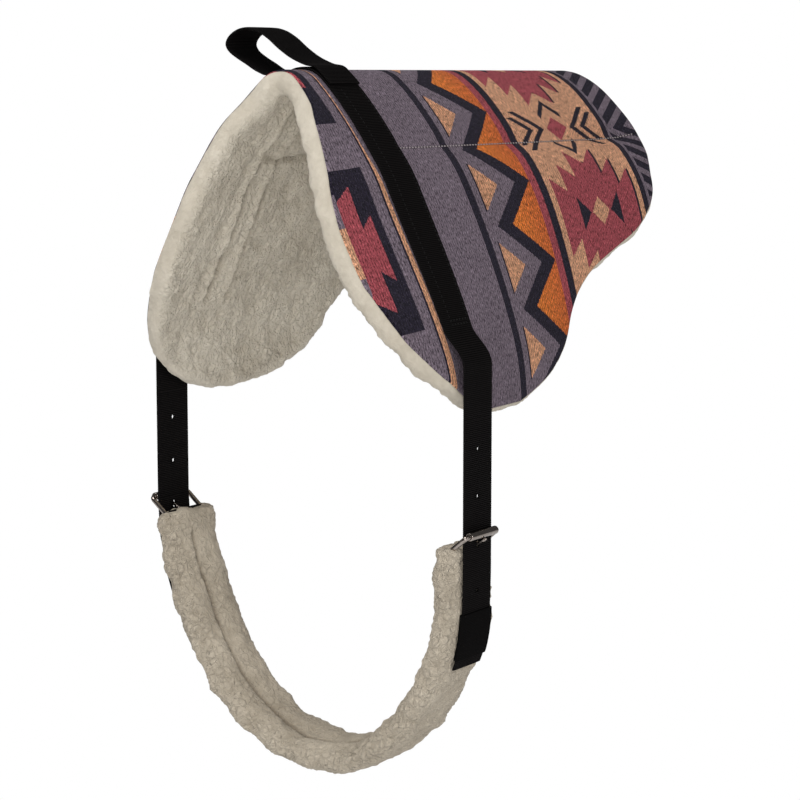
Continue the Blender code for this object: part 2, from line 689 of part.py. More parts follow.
def buckle_axes(side):
    """The heel bar's and the roller's places, as (x, z)."""
    heel = girth_point(girth_distance(side, HEEL_BAR_DEPTH), 0.0, 0.0)
    return Vector((heel.x, heel.z)), Vector((side * ROLLER_REACH, ROLLER_HEIGHT))


def tongue_line(side):
    """Where the tongue lies: from the heel bar past the outer, lower side of the roller."""
    heel, roller = buckle_axes(side)
    reach = (roller - heel).length
    offset = ROLLER_DIAMETER / 2 + SEATING_GAP + TONGUE_THICKNESS / 2
    lean = math.asin(offset / reach)
    direction = (roller - heel).normalized()
    turn = -side * lean
    run = Vector((direction.x * math.cos(turn) - direction.y * math.sin(turn),
                  direction.x * math.sin(turn) + direction.y * math.cos(turn)))
    return heel, run, reach * math.cos(lean)


def make_tail(name, side, webbing):
    """The billet's lower end, which lies down the outside of the girth under its keeper."""
    path = tail_path(side)
    piece = ribbon(f"{name}_billet_tail", path_stations(path, WEBBING_WIDTH, WEBBING_THICKNESS), webbing)
    heel, run, _ = tongue_line(side)
    start, end = Vector(path[0]), Vector(path[1])
    along = end - start
    # Where the tongue's line crosses the tail's middle
    across = run.x * along.y - run.y * along.x
    travel = ((start.x - heel.x) * along.y - (start.y - heel.y) * along.x) / across
    crossing = heel + run * travel
    normal = Vector((-along.y, 0.0, along.x)).normalized()
    centre = Vector((crossing.x, 0.0, crossing.y))
    punch_holes(piece, f"{name}_tongue", [(centre, normal)], TONGUE_HOLE_DIAMETER)
    corners = [crossing] + [Vector(corner) for corner in path[1:]]
    travel = HOLE_PITCH
    for first, second in zip(corners, corners[1:]):
        step = second - first
        if 0 < travel <= step.length:
            spot = first + step * travel / step.length
            normal = Vector((-step.y, 0.0, step.x)).normalized()
            punch_holes(piece, f"{name}_spare", [(Vector((spot.x, 0.0, spot.y)), normal)], HOLE_DIAMETER)
        travel -= step.length


def swept_ring(points, frames, radius, sides):
    """A closed round wire through points, each with its own two section axes, as a bmesh."""
    builder = bmesh.new()
    rings = []
    for point, (first, second) in zip(points, frames):
        angles = [2 * math.pi * index / sides for index in range(sides)]
        rings.append([builder.verts.new(point + (first * math.cos(angle) + second * math.sin(angle)) * radius)
                      for angle in angles])
    for index, ring in enumerate(rings):
        follow = rings[(index + 1) % len(rings)]
        for side in range(sides):
            after = (side + 1) % sides
            builder.faces.new((ring[side], ring[after], follow[after], follow[side]))
    return builder


def make_buckle_frame(name, side, steel):
    """A bent wire frame: heel bar, two side bars and the bar that carries the roller."""
    heel, roller = buckle_axes(side)
    across = (roller - heel).normalized()
    half_span = HALF_WEBBING + BUCKLE_SIDE_CLEARANCE + BAR_DIAMETER / 2
    normal = Vector((-across.y, 0.0, across.x))
    rise = Vector((across.x, 0.0, across.y))
    base = Vector((heel.x, 0.0, heel.y))
    length = (roller - heel).length
    sideways = Vector((0.0, 1.0, 0.0))
    points = []
    frames = []
    corners = ((0.0, -1, 180), (0.0, 1, 270), (length, 1, 0), (length, -1, 90))
    for height, hand, start in corners:
        inward = BUCKLE_CORNER_RADIUS if height == 0.0 else -BUCKLE_CORNER_RADIUS
        middle = base + rise * (height + inward) + sideways * hand * (half_span - BUCKLE_CORNER_RADIUS)
        for step in range(CORNER_STEPS + 1):
            angle = math.radians(start + 90 * step / CORNER_STEPS)
            outward = sideways * math.cos(angle) + rise * math.sin(angle)
            points.append(middle + outward * BUCKLE_CORNER_RADIUS)
            frames.append((outward, normal))
    builder = swept_ring(points, frames, BAR_DIAMETER / 2, BAR_SIDES)
    place(f"{name}_buckle_frame", builder, steel, (heel.x, 0.0, heel.y), smooth_angle=60.0)


def make_roller(name, side, steel):
    """A turned tube on the frame's outer bar, with a small lead at both mouths."""
    x, z = side * ROLLER_REACH, ROLLER_HEIGHT
    half_length = HALF_WEBBING + BUCKLE_SIDE_CLEARANCE - BUCKLE_CORNER_RADIUS / 2
    outer, bore = ROLLER_DIAMETER / 2, ROLLER_BORE / 2
    lead = (outer - bore) / 3
    profile = [(bore, -half_length), (outer - lead, -half_length), (outer, -half_length + lead),
               (outer, half_length - lead), (outer - lead, half_length), (bore, half_length)]
    builder = bmesh.new()
    corners = [builder.verts.new((x + radius, along, z)) for radius, along in profile]
    edges = [builder.edges.new((corners[index], corners[(index + 1) % len(corners)]))
             for index in range(len(corners))]
    bmesh.ops.spin(builder, geom=[*corners, *edges], cent=(x, 0.0, z), axis=(0.0, 1.0, 0.0),
                   angle=2 * math.pi, steps=ROLLER_SIDES, use_merge=True)
    place(f"{name}_buckle_roller", builder, steel, origin=(x, 0.0, z), smooth_angle=35.0)


def make_tongue(name, side, steel):
    """The tongue: an eye round the heel bar and a shank that rests its tip on the roller."""
    heel, run, reach = tongue_line(side)
    left = Vector((-run.y, run.x))
    eye = BAR_DIAMETER / 2 + SEATING_GAP
    outer = eye + TONGUE_EYE_WALL
    half = TONGUE_THICKNESS / 2
    start_angle = math.asin(half / outer)
    tip = reach + ROLLER_DIAMETER / 3
    outline = []
    for step in range(EYE_STEPS + 1):
        angle = start_angle + (2 * math.pi - 2 * start_angle) * step / EYE_STEPS
        outline.append(heel + run * (outer * math.cos(angle)) + left * (outer * math.sin(angle)))
    outline.append(heel + run * (tip - half) - left * half)
    outline.append(heel + run * tip - left * half / 3)
    outline.append(heel + run * tip + left * half / 3)
    outline.append(heel + run * (tip - half) + left * half)
    flat = [(point.x, point.y) for point in outline]
    piece = place(f"{name}_buckle_tongue", prism(flat, -TONGUE_WIDTH / 2, TONGUE_WIDTH / 2), steel,
                  origin=(heel.x, 0.0, heel.y))
    bore = rod_builder((heel.x, -TONGUE_WIDTH / 2 - CUT_OVERRUN, heel.y),
                       (heel.x, TONGUE_WIDTH / 2 + CUT_OVERRUN, heel.y), 2 * eye, HOLE_SIDES)
    cut(piece, cutter(f"{name}_tongue_bore", bore))


def make_chape(name, side, webbing):
    """The webbing fold that holds the heel bar, slotted for the tongue, its legs round the girth strap."""
    heel, _ = buckle_axes(side)
    radius = BAR_DIAMETER / 2 + CHAPE_CLEARANCE + WEBBING_THICKNESS / 2
    leg_offset = WEBBING_THICKNESS + SEATING_GAP
    legs = {}
    for hand in (-1, 1):
        legs[hand] = []
        for run in (CHAPE_LEG_START, KEEPER_TOP * 2 / 3, HEEL_BAR_DEPTH + CHAPE_LENGTH):
            point = girth_point(girth_distance(side, run), 0.0, hand * leg_offset)
            legs[hand].append((point.x, point.z))
    _, outward = girth_frame(girth_distance(side, HEEL_BAR_DEPTH))
    upward = Vector((-outward.y, outward.x)) * side
    arc = []
    for degrees in np.linspace(*CHAPE_WRAP_DEGREES, CHAPE_STEPS + 1):
        angle = math.radians(degrees)
        spot = heel + outward * (radius * math.cos(angle)) + upward * (radius * math.sin(angle))
        arc.append((spot.x, spot.y))
    path = list(reversed(legs[1])) + arc + legs[-1]
    piece = ribbon(f"{name}_chape", path_stations(path, WEBBING_WIDTH, WEBBING_THICKNESS), webbing)
    wide = radius + WEBBING_THICKNESS + CUT_OVERRUN
    slot_outline = [(heel.x - wide, heel.y - wide), (heel.x + wide, heel.y - wide),
                    (heel.x + wide, heel.y + wide), (heel.x - wide, heel.y + wide)]
    slot = prism(slot_outline, -CHAPE_SLOT_WIDTH / 2, CHAPE_SLOT_WIDTH / 2)
    cut(piece, cutter(f"{name}_chape_slot", slot))


def make_keeper(name, side, elastic):
    """An elastic loop round the tail, its back sewn to the girth's outer side."""
    inner_half = WEBBING_THICKNESS / 2 + SEATING_GAP
    outer_half = inner_half + KEEPER_THICKNESS
    corners = ((1, 1), (-1, 1), (-1, -1), (1, -1))
    outer, inner = [], []
    for run in (KEEPER_TOP, KEEPER_TOP + KEEPER_LENGTH / 2, KEEPER_TOP + KEEPER_LENGTH):
        distance = girth_distance(side, run)
        middle = GIRTH_THICKNESS / 2 + TAIL_OFFSET
        outer.append([girth_point(distance, along * (HALF_WEBBING + SEATING_GAP + KEEPER_THICKNESS),
                                  middle + height * outer_half) for along, height in corners])
        inner.append([girth_point(distance, along * (HALF_WEBBING + SEATING_GAP),
                                  middle + height * inner_half) for along, height in corners])
    hollow_tube(f"{name}_keeper", outer, inner, elastic)


def make_girth(webbing):
    foam = material("girth_foam", (0.32, 0.32, 0.34), 0.9)
    fleece = material("girth_fleece", (0.66, 0.61, 0.50), 0.95)
    chape_end = HEEL_BAR_DEPTH + CHAPE_LENGTH
    outer, inner = [], []
    for distance in GIRTH_STATIONS:
        lean = 0.0
        if distance == GIRTH_STATIONS[0]:
            lean = GIRTH_END_SLANT
        if distance == GIRTH_STATIONS[-1]:
            lean = -GIRTH_END_SLANT
        outer.append(girth_ring(distance, GIRTH_SECTION_SHARES, GIRTH_WIDTH, GIRTH_THICKNESS, lean))
        inner.append(girth_ring(distance, TUNNEL_SECTION_SHARES, TUNNEL_WIDTH, TUNNEL_THICKNESS, lean))
    hollow_tube("girth_fleece", outer, inner, fleece)
    webbing_start = KEEPER_TOP / 3
    for piece_name, start, width, height, thickness, finish in (
            ("girth_webbing", webbing_start, WEBBING_WIDTH, 0.0, WEBBING_THICKNESS, webbing),
            ("girth_foam", chape_end + CUT_OVERRUN, FOAM_WIDTH,
             -(WEBBING_THICKNESS / 2 + SEATING_GAP + FOAM_THICKNESS / 2), FOAM_THICKNESS, foam)):
        inside = [run for run in GIRTH_STATIONS if start < run < GIRTH_LENGTH - start]
        stations = []
        for distance in [start, *inside, GIRTH_LENGTH - start]:
            corners = ((-1, 1), (1, 1), (1, -1), (-1, -1))
            stations.append([girth_point(distance, along * width / 2, height + side * thickness / 2)
                             for along, side in corners])
        ribbon(piece_name, stations, finish)


def build():
    clear_scene()
    webbing = material("webbing", (0.012, 0.012, 0.011), 0.75)
    elastic = material("elastic", (0.016, 0.015, 0.014), 0.85)
    steel = material("nickel", (0.62, 0.60, 0.57), 0.25, 1.0)
    make_pad()
    make_over_strap(webbing)
    make_handle(webbing)
    for name, side in SIDES:
        make_billet(name, side, webbing)
        make_tail(name, side, webbing)
        make_buckle_frame(name, side, steel)
        make_roller(name, side, steel)
        make_tongue(name, side, steel)
        make_chape(name, side, webbing)
        make_keeper(name, side, elastic)
    make_girth(webbing)


build()
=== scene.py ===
"""The looks of a bareback pad: woven blanket top, fleece lining and girth, black webbing, nickel buckles."""
import math

import bmesh
import bpy
import numpy as np
from mathutils import Matrix, Vector, noise


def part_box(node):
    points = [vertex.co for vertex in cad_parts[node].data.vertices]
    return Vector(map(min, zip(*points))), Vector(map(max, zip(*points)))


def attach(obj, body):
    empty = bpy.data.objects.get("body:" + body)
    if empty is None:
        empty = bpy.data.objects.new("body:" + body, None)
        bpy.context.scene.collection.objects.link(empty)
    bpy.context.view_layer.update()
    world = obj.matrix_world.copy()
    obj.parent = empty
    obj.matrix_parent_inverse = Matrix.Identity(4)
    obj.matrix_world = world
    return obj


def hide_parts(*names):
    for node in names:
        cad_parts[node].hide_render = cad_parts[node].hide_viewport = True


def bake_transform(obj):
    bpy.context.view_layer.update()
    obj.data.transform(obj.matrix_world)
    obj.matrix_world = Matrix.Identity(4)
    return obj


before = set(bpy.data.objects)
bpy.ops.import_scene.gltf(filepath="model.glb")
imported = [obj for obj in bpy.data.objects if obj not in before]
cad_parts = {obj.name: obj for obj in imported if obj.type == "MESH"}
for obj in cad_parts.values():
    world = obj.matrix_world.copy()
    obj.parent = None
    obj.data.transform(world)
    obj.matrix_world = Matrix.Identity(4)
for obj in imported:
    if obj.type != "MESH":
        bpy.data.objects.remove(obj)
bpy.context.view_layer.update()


# Fleece lining. A deep off-white synthetic fleece covers the whole underside and is rolled
# round the edge to the top, where it is sewn down against the woven cover. Rows of stitching
# that hold the strap and the cover's long seam draw the pile in as grooves.
SPINE_LENGTH = 0.548
STRAP_SETBACK = 0.063
REAR_REACH = SPINE_LENGTH - STRAP_SETBACK
FLAP_ARC = 0.395
FRONT_REACH = 0.045
PAD_THICKNESS = 0.024
SEAM_SPREAD = 0.012
SEAM_SQUEEZE_SHARE = 0.30
SEAM_SHARE = 0.285
SEAM_DRIFT_SHARE = 0.03
SEAM_FADE_SHARE = 0.6
SLOPE_SHARES = (
    (0.0, 0.0, 0.0, 0.0, 0.0), (0.064, 45.0, 25.0, 0.0, 0.0), (0.154, 50.2, 46.0, 2.3, 0.0),
    (0.281, 55.9, 48.0, 10.6, 6.0), (0.289, 56.4, 47.0, 10.6, -16.0), (0.345, 59.5, 49.0, 4.2, 0.0),
    (0.40, 65.9, 56.0, 2.8, 0.0), (0.513, 62.0, 74.0, 1.1, 0.0), (0.667, 62.4, 83.0, 0.0, 0.0),
    (0.82, 67.3, 87.0, 0.0, 0.0), (0.90, 79.0, 88.0, 0.0, 0.0), (1.0, 88.0, 90.0, 0.0, 0.0),
)
SEAM_STRENGTH_SHARES = ((0.0, 0.0), (0.15, 0.1), (0.55, 0.6), (0.85, 1.0), (0.93, 0.9), (1.0, 0.0))
TUCK_START = 0.030
TUCK_SPREAD = 0.075
FRONT_EDGE_SHARES = (
    (0.0, 0.0), (0.127, 0.17), (0.20, 0.45), (0.284, 0.64), (0.388, 0.89), (0.456, 0.975),
    (0.524, 1.0), (0.58, 0.99), (0.62, 0.96), (0.655, 0.86), (0.73, 0.61), (0.795, 0.32),
    (0.877, -0.26), (0.943, -0.98), (0.979, -1.55), (1.0, -2.24),
)
REAR_EDGE_SHARES = (
    (0.0, 1.0), (0.128, 1.012), (0.22, 1.02), (0.285, 1.018), (0.383, 0.992), (0.455, 0.958),
    (0.526, 0.931), (0.58, 0.880), (0.62, 0.817), (0.656, 0.719), (0.692, 0.621), (0.732, 0.547),
    (0.797, 0.480), (0.878, 0.426), (0.943, 0.351), (0.979, 0.271), (1.0, 0.206),
)
ALONG_STOPS = np.linspace(-0.125, 0.500, 126)
ARC_STOPS = np.linspace(0.0, 1.04, 833)
OUTLINE_STEPS = 500
SLOPE_EASING = 9
CORNER_EASING = 31
CORNER_SPREAD = 6
HIDDEN_FACE_INSET = 0.0035
MERGE_DISTANCE = 1e-6


def ramp(value, start, width):
    """0 up to the start, then rising evenly to 1 over a width."""
    return np.clip((value - start) / width, 0.0, 1.0)


def smooth_curve(table, shares):
    """Read a smooth curve through a table of pairs, with slopes taken from the neighbours."""
    keys, values = np.array(table).T
    slopes = np.gradient(values, keys)
    slopes[1:-1] = (values[2:] - values[:-2]) / (keys[2:] - keys[:-2])
    span = np.clip(np.searchsorted(keys, shares) - 1, 0, len(keys) - 2)
    width = keys[span + 1] - keys[span]
    t = (shares - keys[span]) / width
    return ((2 * t ** 3 - 3 * t ** 2 + 1) * values[span] + (t ** 3 - 2 * t ** 2 + t) * slopes[span] * width
            + (3 * t ** 2 - 2 * t ** 3) * values[span + 1] + (t ** 3 - t ** 2) * slopes[span + 1] * width)


def front_edge(arc):
    return -STRAP_SETBACK - FRONT_REACH * smooth_curve(FRONT_EDGE_SHARES, np.abs(arc) / FLAP_ARC)


def rear_edge(arc):
    return REAR_REACH * smooth_curve(REAR_EDGE_SHARES, np.abs(arc) / FLAP_ARC)


def rear_share_at(along):
    return ramp(along, -STRAP_SETBACK, SPINE_LENGTH)


def seam_strength(along):
    return np.interp(rear_share_at(along), *np.array(SEAM_STRENGTH_SHARES).T)


def section_tables():
    """Sideways reach, drop and slope of the outer face, by place along the back and arc share."""
    keys, front, rear, tuck, knee = np.array(SLOPE_SHARES).T
    hold = np.interp(keys, (0.0, SEAM_SHARE, SEAM_FADE_SHARE), (0.0, 1.0, 0.0))
    middles = (ARC_STOPS[1:] + ARC_STOPS[:-1]) / 2
    step = FLAP_ARC * (ARC_STOPS[1] - ARC_STOPS[0])
    easing = np.ones(SLOPE_EASING) / SLOPE_EASING
    reaches, drops, slopes = [], [], []
    for along in ALONG_STOPS:
        level = rear_share_at(along)
        degrees = (front * (1 - level) + rear * level + knee * seam_strength(along)
                   + tuck * ramp(-along, TUCK_START, TUCK_SPREAD))
        angles = np.radians(np.interp(middles, keys + SEAM_DRIFT_SHARE * level * hold, degrees))
        ends = (-angles[:SLOPE_EASING][::-1], angles, angles[-SLOPE_EASING:][::-1])
        eased = np.convolve(np.concatenate(ends), easing, "same")[SLOPE_EASING:-SLOPE_EASING]
        reaches.append(np.concatenate(([0.0], np.cumsum(step * np.cos(eased)))))
        drops.append(np.concatenate(([0.0], np.cumsum(step * np.sin(eased)))))
        slopes.append(np.interp(ARC_STOPS, middles, eased))
    return np.array(reaches), np.array(drops), np.array(slopes)


REACH_TABLE, DROP_TABLE, SLOPE_TABLE = section_tables()


def pad_section(along, arc):
    """Reach, drop and slope at places along the back and arcs from the spine, read from the tables."""
    level = ramp(along, ALONG_STOPS[0], ALONG_STOPS[-1] - ALONG_STOPS[0]) * (len(ALONG_STOPS) - 1)
    stop = np.clip(np.abs(arc) / FLAP_ARC, 0.0, ARC_STOPS[-1]) / ARC_STOPS[-1] * (len(ARC_STOPS) - 1)
    row = np.minimum(level.astype(int), len(ALONG_STOPS) - 2)
    column = np.minimum(stop.astype(int), len(ARC_STOPS) - 2)
    s, t = level - row, stop - column
    return [(table[row, column] * (1 - s) * (1 - t) + table[row + 1, column] * s * (1 - t)
             + table[row, column + 1] * (1 - s) * t + table[row + 1, column + 1] * s * t)
            for table in (REACH_TABLE, DROP_TABLE, SLOPE_TABLE)]


def seam_arc(along):
    return (SEAM_SHARE + SEAM_DRIFT_SHARE * rear_share_at(along)) * FLAP_ARC


def pad_points(along, arc, depth):
    """Points of the pad from arrays: place along the back, arc from the spine, depth below the face."""
    along, arc, depth = np.broadcast_arrays(*(np.asarray(part, float) for part in (along, arc, depth)))
    reach, drop, slope = pad_section(along, arc)
    squeeze = np.exp(-((np.abs(arc) - seam_arc(along)) / SEAM_SPREAD) ** 2)
    squeeze *= SEAM_SQUEEZE_SHARE * seam_strength(along)
    middle = PAD_THICKNESS / 2
    depth = np.where(depth > 0, middle + (depth - middle) * (1 - squeeze), depth + middle * squeeze)
    side = np.where(arc < 0, -1.0, 1.0)
    return np.stack([side * (reach - depth * np.sin(slope)), along,
                     PAD_THICKNESS - drop - depth * np.cos(slope)], axis=-1)


def row_shares():
    """Arc shares that space the grid's rows evenly along both side edges."""
    shares = np.linspace(0.0, 1.0, OUTLINE_STEPS)
    arcs = shares * FLAP_ARC
    steps = (np.hypot(np.diff(front_edge(arcs)), np.diff(arcs))
             + np.hypot(np.diff(rear_edge(arcs)), np.diff(arcs)))
    runs = np.concatenate(([0.0], np.cumsum(steps)))
    return runs / runs[-1], shares


ROW_RUNS, ROW_SHARES = row_shares()


def row_arc(v):
    return np.sign(v) * np.interp(np.abs(v), ROW_RUNS, ROW_SHARES) * FLAP_ARC


def outline_tables():
    """The flat outline as one loop of four sides, with its inward normals."""
    run = np.linspace(0.0, 1.0, OUTLINE_STEPS, endpoint=False)
    v = np.concatenate([2 * run - 1, np.ones_like(run), 1 - 2 * run, -np.ones_like(run)])
    u = np.concatenate([np.zeros_like(run), run, np.ones_like(run), 1 - run])
    arc = row_arc(v)
    along = front_edge(arc) * (1 - u) + rear_edge(arc) * u
    tangent = np.stack([np.roll(along, -1) - np.roll(along, 1), np.roll(arc, -1) - np.roll(arc, 1)])
    tangent /= np.hypot(*tangent)
    window = np.ones(CORNER_EASING) / CORNER_EASING
    for part in tangent:
        wrapped = np.concatenate([part[-CORNER_EASING:], part, part[:CORNER_EASING]])
        part[:] = np.convolve(wrapped, window, "same")[CORNER_EASING:-CORNER_EASING]
    tangent /= np.hypot(*tangent)
    return along, arc, tangent[1], -tangent[0]


OUTLINE = outline_tables()


def outline_at(u, v, inset):
    """Flat places on the outline's border, moved inward by an inset."""
    run = np.where(u <= 0, (v + 1) / 2, np.where(v >= 1, 1 + u, np.where(u >= 1, 2 + (1 - v) / 2, 4 - u)))
    steps = np.arange(len(OUTLINE[0])) / OUTLINE_STEPS
    along, arc, normal_along, normal_arc = (np.interp(run, steps, part, period=4.0) for part in OUTLINE)
    return along + inset * normal_along, arc + inset * normal_arc


def flat_places(u, v, inset):
    """Flat places inside the outline: u runs from front to rear, v from the far flap to the near."""
    front = outline_at(np.zeros_like(u), v, inset)
    rear = outline_at(np.ones_like(u), v, inset)
    end = np.where(v < 0, -1.0, 1.0)
    bottom = outline_at(u, end, inset)
    front_end = outline_at(np.zeros_like(u), end, inset)
    rear_end = outline_at(np.ones_like(u), end, inset)
    return [f * (1 - u) + r * u + (b - fe * (1 - u) - re * u) * np.abs(v) ** CORNER_SPREAD
            for f, r, b, fe, re in zip(front, rear, bottom, front_end, rear_end)]


def shell_grid(builder, columns, rows, rings):
    """A grid with extra rings round its border, and where each vertex lies on the pad."""
    wide, high = columns + 2 * rings, rows + 2 * rings
    made = bmesh.ops.create_grid(builder, x_segments=wide, y_segments=high, size=1.0)
    spots = np.array([vert.co[:2] for vert in made["verts"]])
    i = (spots[:, 0] + 1) / 2 * wide - rings
    j = (spots[:, 1] + 1) / 2 * high - rings
    ring = np.maximum.reduce([-i, i - columns, -j, j - rows, np.zeros_like(i)])
    u = np.clip(i / columns, 0.0, 1.0)
    v = 2 * np.clip(j / rows, 0.0, 1.0) - 1
    return made["verts"], np.round(u, 9), np.round(v, 9), np.round(ring).astype(int)


def pad_shell(name, columns, rows, rim, back_rows):
    """One layer of the pad as a closed body: a fine face with a rim, and a plain hidden face.

    The rim is a list of inset and depth, from the fine face's edge round to the hidden face.
    """
    builder = bmesh.new()
    flat = builder.verts.layers.float_vector.new("flat")
    verts, u, v, ring = shell_grid(builder, columns, rows, len(rim) - 1)
    insets, depths = np.array(rim).T
    inner = flat_places(u, v, insets[0])
    border = outline_at(u, v, insets[ring])
    along = np.where(ring > 0, border[0], inner[0])
    arc = np.where(ring > 0, border[1], inner[1])
    depth = depths[ring]
    back_columns = max(round(back_rows * columns / rows), 4)
    back_verts, back_u, back_v, _ = shell_grid(builder, back_columns, back_rows, 0)
    back_along, back_arc = flat_places(back_u, back_v, insets[-1] + HIDDEN_FACE_INSET)
    along = np.concatenate([along, back_along])
    arc = np.concatenate([arc, back_arc])
    depth = np.concatenate([depth, np.full(len(back_u), depths[-1])])
    places = np.stack([along, arc, depth], axis=-1)
    for vert, point, place in zip(verts + back_verts, pad_points(along, arc, depth), places):
        vert.co = point
        vert[flat] = Vector(place)
    bmesh.ops.remove_doubles(builder, verts=builder.verts, dist=MERGE_DISTANCE)
    loops = [edge for edge in builder.edges if edge.is_boundary]
    bmesh.ops.bridge_loops(builder, edges=loops)
    bmesh.ops.recalc_face_normals(builder, faces=builder.faces)
    return finished(name, builder, flat)


def finished(name, builder, flat=None):
    """A mesh object from a bmesh, shaded smooth, with a UV map in metres where a flat place is kept."""
    if flat is not None:
        sheet = builder.loops.layers.uv.new("weave")
        for face in builder.faces:
            for corner in face.loops:
                corner[sheet].uv = corner.vert[flat][:2]
    mesh = bpy.data.meshes.new(name)
    builder.to_mesh(mesh)
    builder.free()
    mesh.shade_smooth()
    piece = bpy.data.objects.new(name, mesh)
    bpy.context.scene.collection.objects.link(piece)
    return piece


def node_math(tree, operation, *values):
    node = tree.nodes.new("ShaderNodeMath")
    node.operation = operation
    for socket, value in zip(node.inputs, values):
        if isinstance(value, (int, float)):
            socket.default_value = value
        else:
            tree.links.new(value, socket)
    return node.outputs[0]


def node_mix(tree, mask, below, above):
    """Colour below, and colour above where the mask is 1."""
    node = tree.nodes.new("ShaderNodeMix")
    node.data_type = "RGBA"
    for socket, value in ((node.inputs[0], mask), (node.inputs[6], below), (node.inputs[7], above)):
        if isinstance(value, (int, float)):
            socket.default_value = value
        elif isinstance(value, tuple):
            socket.default_value = (*value, 1.0)
        else:
            tree.links.new(value, socket)
    return node.outputs[2]


def node_noise(tree, place, scale, detail=2.0, roughness=0.5, distortion=0.0):
    node = tree.nodes.new("ShaderNodeTexNoise")
    tree.links.new(place, node.inputs["Vector"])
    for key, value in (("Scale", scale), ("Detail", detail), ("Roughness", roughness),
                       ("Distortion", distortion)):
        node.inputs[key].default_value = value
    return node.outputs["Fac"]


def node_attribute(tree, name):
    node = tree.nodes.new("ShaderNodeAttribute")
    node.attribute_name = name
    return node.outputs["Fac"]


def node_clamp(tree, value):
    return node_math(tree, "MINIMUM", node_math(tree, "MAXIMUM", value, 0.0), 1.0)


def node_bump(tree, height, distance, strength, normal=None):
    node = tree.nodes.new("ShaderNodeBump")
    node.inputs["Strength"].default_value = strength
    node.inputs["Distance"].default_value = distance
    tree.links.new(height, node.inputs["Height"])
    if normal is not None:
        tree.links.new(normal, node.inputs["Normal"])
    return node.outputs["Normal"]


def new_finish(name, roughness, **sockets):
    finish = bpy.data.materials.new(name)
    finish.use_nodes = True
    shader = finish.node_tree.nodes["Principled BSDF"]
    shader.inputs["Roughness"].default_value = roughness
    for key, value in sockets.items():
        shader.inputs[key.replace("_", " ")].default_value = value
    place = finish.node_tree.nodes.new("ShaderNodeTexCoord").outputs["Object"]
    return finish, finish.node_tree, shader, place


# The pile's pattern: scales in steps per metre, reliefs in metres, and how far each part darkens it.
# The darkening is painted shade in the creases, between the curls, in the grooves and round the roll; the
# wear adds random mottle.
CREASE_SCALE = 140.0
CREASE_BEND_SCALE = 150.0
CREASE_BEND = 0.0075
CREASE_BREAK_SCALE = 48.0
CREASE_RELIEF = 0.0013
CURL_SCALE = 240.0
CURL_RELIEF = 0.0018
TUFT_SCALE = 800.0
TUFT_RELIEF = 0.0008
WEAR_SCALE = 15.0
PILE_BUMP = 0.8
SHADE_BASE = 0.62
PILE_SHADE = -0.80
CURL_SHADE = -0.20
CREASE_SHADE = -0.10
CREASE_SHADE_BASE = 0.08
WEAR_SHADE = 0.75
CURLY_SHADE = -0.20
# How far the grooves in the pile are painted darker, as shade
GROOVE_SHADE_SHARE = 0.85
GROOVE_SHADE_DARKNESS = 0.35


def fleece_finish(name, light, shade, creased):
    """Short curly pile with a faint sheen; the pale tips and the thin darker creases between the curls are
    painted light and shade.
    """
    finish, tree, shader, place = new_finish(name, 0.95, Sheen_Weight=0.10, Sheen_Roughness=0.6,
                                             Specular_IOR_Level=0.10)
    pile, curly, groove_shade = (node_attribute(tree, key) for key in ("pile", "curly", "groove_shade"))
    bend = tree.nodes.new("ShaderNodeTexNoise")
    tree.links.new(place, bend.inputs["Vector"])
    bend.inputs["Scale"].default_value = CREASE_BEND_SCALE
    bent = tree.nodes.new("ShaderNodeVectorMath")
    bent.operation = "MULTIPLY_ADD"
    bent.inputs[1].default_value = (CREASE_BEND, CREASE_BEND, CREASE_BEND)
    tree.links.new(bend.outputs["Color"], bent.inputs[0])
    tree.links.new(place, bent.inputs[2])
    cells = tree.nodes.new("ShaderNodeTexVoronoi")
    cells.feature = "DISTANCE_TO_EDGE"
    cells.inputs["Scale"].default_value = CREASE_SCALE
    tree.links.new(bent.outputs[0], cells.inputs["Vector"])
    broken = node_noise(tree, place, CREASE_BREAK_SCALE, 2.0, 0.6)
    depth = node_math(tree, "MULTIPLY_ADD", broken, 6.0, 0.6)
    crease = node_math(tree, "MINIMUM", node_math(tree, "MULTIPLY", cells.outputs["Distance"], depth), 1.0)
    crease = node_math(tree, "MULTIPLY_ADD", node_math(tree, "SUBTRACT", crease, 1.0), curly, 1.0)
    curls = node_noise(tree, place, CURL_SCALE, 3.0, 0.58, 1.3)
    curls = node_math(tree, "MULTIPLY_ADD", node_math(tree, "SUBTRACT", curls, 0.5), curly, 0.5)
    tufts = node_noise(tree, place, TUFT_SCALE, 2.0, 0.65, 0.5)
    wear = node_noise(tree, place, WEAR_SCALE, 2.0, 0.5)
    # Painted shade: darker where the pile lies low, in the creases, between the curls and on the calmer roll,
    # and lighter inside the flaps. The wear adds random mottle.
    painted_shade_and_mottle = SHADE_BASE + CREASE_SHADE_BASE * creased
    for part, share in ((pile, PILE_SHADE), (curls, CURL_SHADE), (crease, CREASE_SHADE * creased),
                        (wear, WEAR_SHADE), (curly, CURLY_SHADE)):
        painted_shade_and_mottle = node_math(tree, "MULTIPLY_ADD", part, share, painted_shade_and_mottle)
    colour = node_mix(tree, node_clamp(tree, painted_shade_and_mottle), light, shade)
    # Painted shade, darker still, in the grooves that the stitch rows and seams draw into the pile
    groove_shade_colour = tuple(part * GROOVE_SHADE_DARKNESS for part in shade)
    colour = node_mix(tree, node_math(tree, "MULTIPLY", groove_shade, GROOVE_SHADE_SHARE), colour, groove_shade_colour)
    tree.links.new(colour, shader.inputs["Base Color"])
    relief = node_bump(tree, tufts, TUFT_RELIEF, PILE_BUMP)
    relief = node_bump(tree, curls, CURL_RELIEF, PILE_BUMP, relief)
    relief = node_bump(tree, crease, CREASE_RELIEF * creased, PILE_BUMP, relief)
    tree.links.new(relief, shader.inputs["Normal"])
    return finish


